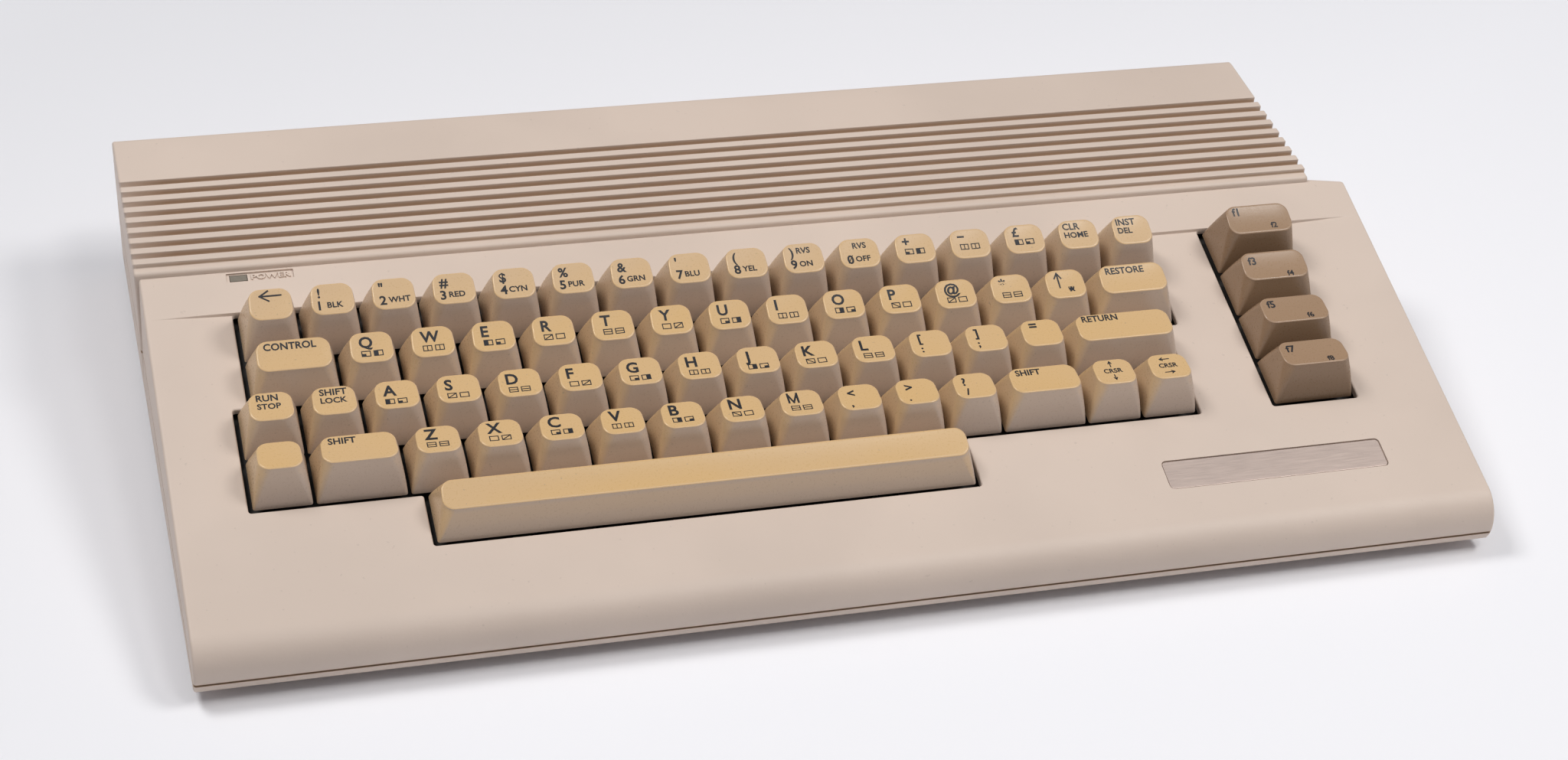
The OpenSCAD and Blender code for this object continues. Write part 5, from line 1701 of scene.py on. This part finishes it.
class COMPUTER_OT_rocker(bpy.types.Operator):
    """Shape the power rocker with its rounded rims"""
    bl_idname = "computer.rocker"
    bl_label = "Power rocker"

    def execute(self, context):
        half_z, lean, pin, across = 5.5, -8, 1.2, 6
        half = [(-3, 4.5), (2, 7.5), (5, 7.2), (4.3, 3)]
        corners = [(x, -y) for x, y in half] + [(4, 0)] + half[::-1]
        outline = rounded(corners, [0.3] * len(corners), 3)
        lower_rim = [(0.5, -half_z), (0.12, -half_z + 0.2), (0, -half_z + 0.5)]
        rims = lower_rim + [(inset, -z) for inset, z in reversed(lower_rim)]
        rings = [[(x * (1 - inset / across), y * (1 - inset / across), z) for x, y in outline]
                 for inset, z in rims]
        made = Shape().loft(rings).join(rod(pin, -half_z - pin, half_z + pin))
        place = to(SOCKET_X - 4.8, ROCKER_Y, ROCKER_Z) @ Matrix.Rotation(math.radians(lean), 4, "Z")
        add_piece(made.moved(place), "rocker_moulding", "switch", "power_rocker", "black_socket",
                  "power_rocker")
        return {"FINISHED"}


# ---- stage ----
CAMERA_AT = (-255.04, -727.50, 611.85)
CAMERA_TURN, CAMERA_DOWN, CAMERA_ROLL = 19.248, 37.932, 6.528
CAMERA_LENS, CAMERA_SENSOR = 67.423, 36.0
FAR_TONE = "#ECECF1"
# each light: its place, where it points, its size, its share of the main light's power, and its tint
LIGHTS = {
    "right_softbox": ((760, -250, 1300), (60, -20, 0), (500, 400), 0.78, "#FFFCF8"),
    "left_softbox": ((-650, 320, 1300), (-40, 0, 0), (450, 450), 0.9, "#FFFDFA"),
    "front_lamp": ((250, -560, 1400), (0, -60, 20), (320, 240), 0.27, "#FFFBF6"),
}
# the paper runs this far to the front, the rear, each side and up, and bends on this radius
PAPER_FRONT, PAPER_REAR, PAPER_SIDE, PAPER_TOP, PAPER_BEND = -4000, 3000, 6000, 4500, 1200


class COMPUTER_OT_stage(bpy.types.Operator):
    """Set the floor, the lights and the camera"""
    bl_idname = "computer.stage"
    bl_label = "Stage"

    def execute(self, context):
        settings = context.scene.stage_settings
        make_camera()
        make_floor(settings.floor)
        make_world(settings.fill)
        for name, (place, aim, size, share, tint) in LIGHTS.items():
            area_light(name, place, aim, size, settings.key_power * share, tint)
        context.scene.view_settings.view_transform = "Standard"
        return {"FINISHED"}


def make_camera():
    """The scene's camera."""
    data = bpy.data.cameras.new("camera")
    data.lens, data.sensor_width = CAMERA_LENS, CAMERA_SENSOR
    data.clip_start, data.clip_end = 0.01, 20.0
    camera = put_in_scene("camera", data)
    turn = Matrix.Rotation(math.radians(-CAMERA_TURN), 4, "Z")
    tip = Matrix.Rotation(math.radians(90 - CAMERA_DOWN), 4, "X")
    roll = Matrix.Rotation(math.radians(CAMERA_ROLL), 4, "Z")
    camera.matrix_world = Matrix.Translation(Vector(CAMERA_AT) * MM) @ turn @ tip @ roll
    bpy.context.scene.camera = camera


def area_light(name, place, aim, size, power, tint):
    """A rectangular light at a place, aimed at a point."""
    data = bpy.data.lights.new(name, "AREA")
    data.shape, data.size, data.size_y = "RECTANGLE", size[0] * MM, size[1] * MM
    data.energy, data.color = power, linear(tint)
    light = put_in_scene(name, data)
    light.location = Vector(place) * MM
    light.rotation_euler = (Vector(aim) - Vector(place)).to_track_quat("-Z", "Y").to_euler()


def make_floor(rgb):
    """A seamless sheet of paper: flat under the object and curving up far behind it."""
    bend = arc((PAPER_REAR, PAPER_BEND), PAPER_BEND, -90, 0, 16)
    profile = [(PAPER_FRONT, 0), *bend, (PAPER_REAR + PAPER_BEND, PAPER_TOP)]
    shape = Shape()
    for k, (y, z) in enumerate(profile):
        shape.points += [Vector((x, y, z)) for x in (-PAPER_SIDE, PAPER_SIDE)]
        if k:
            shape.face((2 * k - 2, 2 * k - 1, 2 * k + 1, 2 * k))
    floor = shape.piece("backdrop", [backdrop_paper("backdrop_paper", rgb)])
    shade(floor, 60)


def make_world(strength):
    """Soft light from a pale ceiling that fades towards the horizon, and a pale backdrop that only
    the camera sees past the floor."""
    world = bpy.data.worlds.new("studio")
    bpy.context.scene.world = world
    world.use_nodes = True
    tree = world.node_tree
    tree.nodes.clear()
    way = add_node(tree, "TexCoord", out="Generated")
    height = add_node(tree, "SeparateXYZ", {0: way}, "Z")
    level = add_node(tree, "MapRange", {"Value": height, "To Min": strength * 0.02, "To Max": strength})
    light = add_node(tree, "Background", {"Color": linear("#F3F4FA"), "Strength": level})
    backdrop = add_node(tree, "Background", {"Color": linear(FAR_TONE), "Strength": 1.0})
    seen = add_node(tree, "LightPath", out="Is Camera Ray")
    surface = add_node(tree, "MixShader", {0: seen, 1: light, 2: backdrop})
    add_node(tree, "OutputWorld", {"Surface": surface})


# ---- panel and registration ----
OPERATORS = (
    COMPUTER_OT_stage, COMPUTER_OT_case, COMPUTER_OT_keys, COMPUTER_OT_function_keys,
    COMPUTER_OT_space_bar, COMPUTER_OT_springs, COMPUTER_OT_nameplate, COMPUTER_OT_lamp,
    COMPUTER_OT_rocker, COMPUTER_OT_contacts, COMPUTER_OT_feet, COMPUTER_OT_screws,
)


class COMPUTER_PT_panel(bpy.types.Panel):
    """Lists the settings and what can be built"""
    bl_label = "Home computer"
    bl_idname = "COMPUTER_PT_panel"
    bl_space_type = "VIEW_3D"
    bl_region_type = "UI"
    bl_category = "Computer"

    def draw(self, context):
        for name, group in SETTINGS.items():
            column = self.layout.box().column()
            for prop in group.__annotations__:
                column.prop(getattr(context.scene, name), prop)
        for operator in OPERATORS:
            self.layout.operator(operator.bl_idname)


def register():
    for cls in (*SETTINGS.values(), *OPERATORS, COMPUTER_PT_panel):
        bpy.utils.register_class(cls)
    for name, group in SETTINGS.items():
        setattr(bpy.types.Scene, name, PointerProperty(type=group))


def unregister():
    for name in SETTINGS:
        delattr(bpy.types.Scene, name)
    for cls in reversed((*SETTINGS.values(), *OPERATORS, COMPUTER_PT_panel)):
        bpy.utils.unregister_class(cls)


def main():
    register()
    make_finishes()
    paint_frame_nodes()
    for operator in OPERATORS:
        group, name = operator.bl_idname.split(".")
        getattr(getattr(bpy.ops, group), name)()
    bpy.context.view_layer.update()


if __name__ == "__main__":
    main()
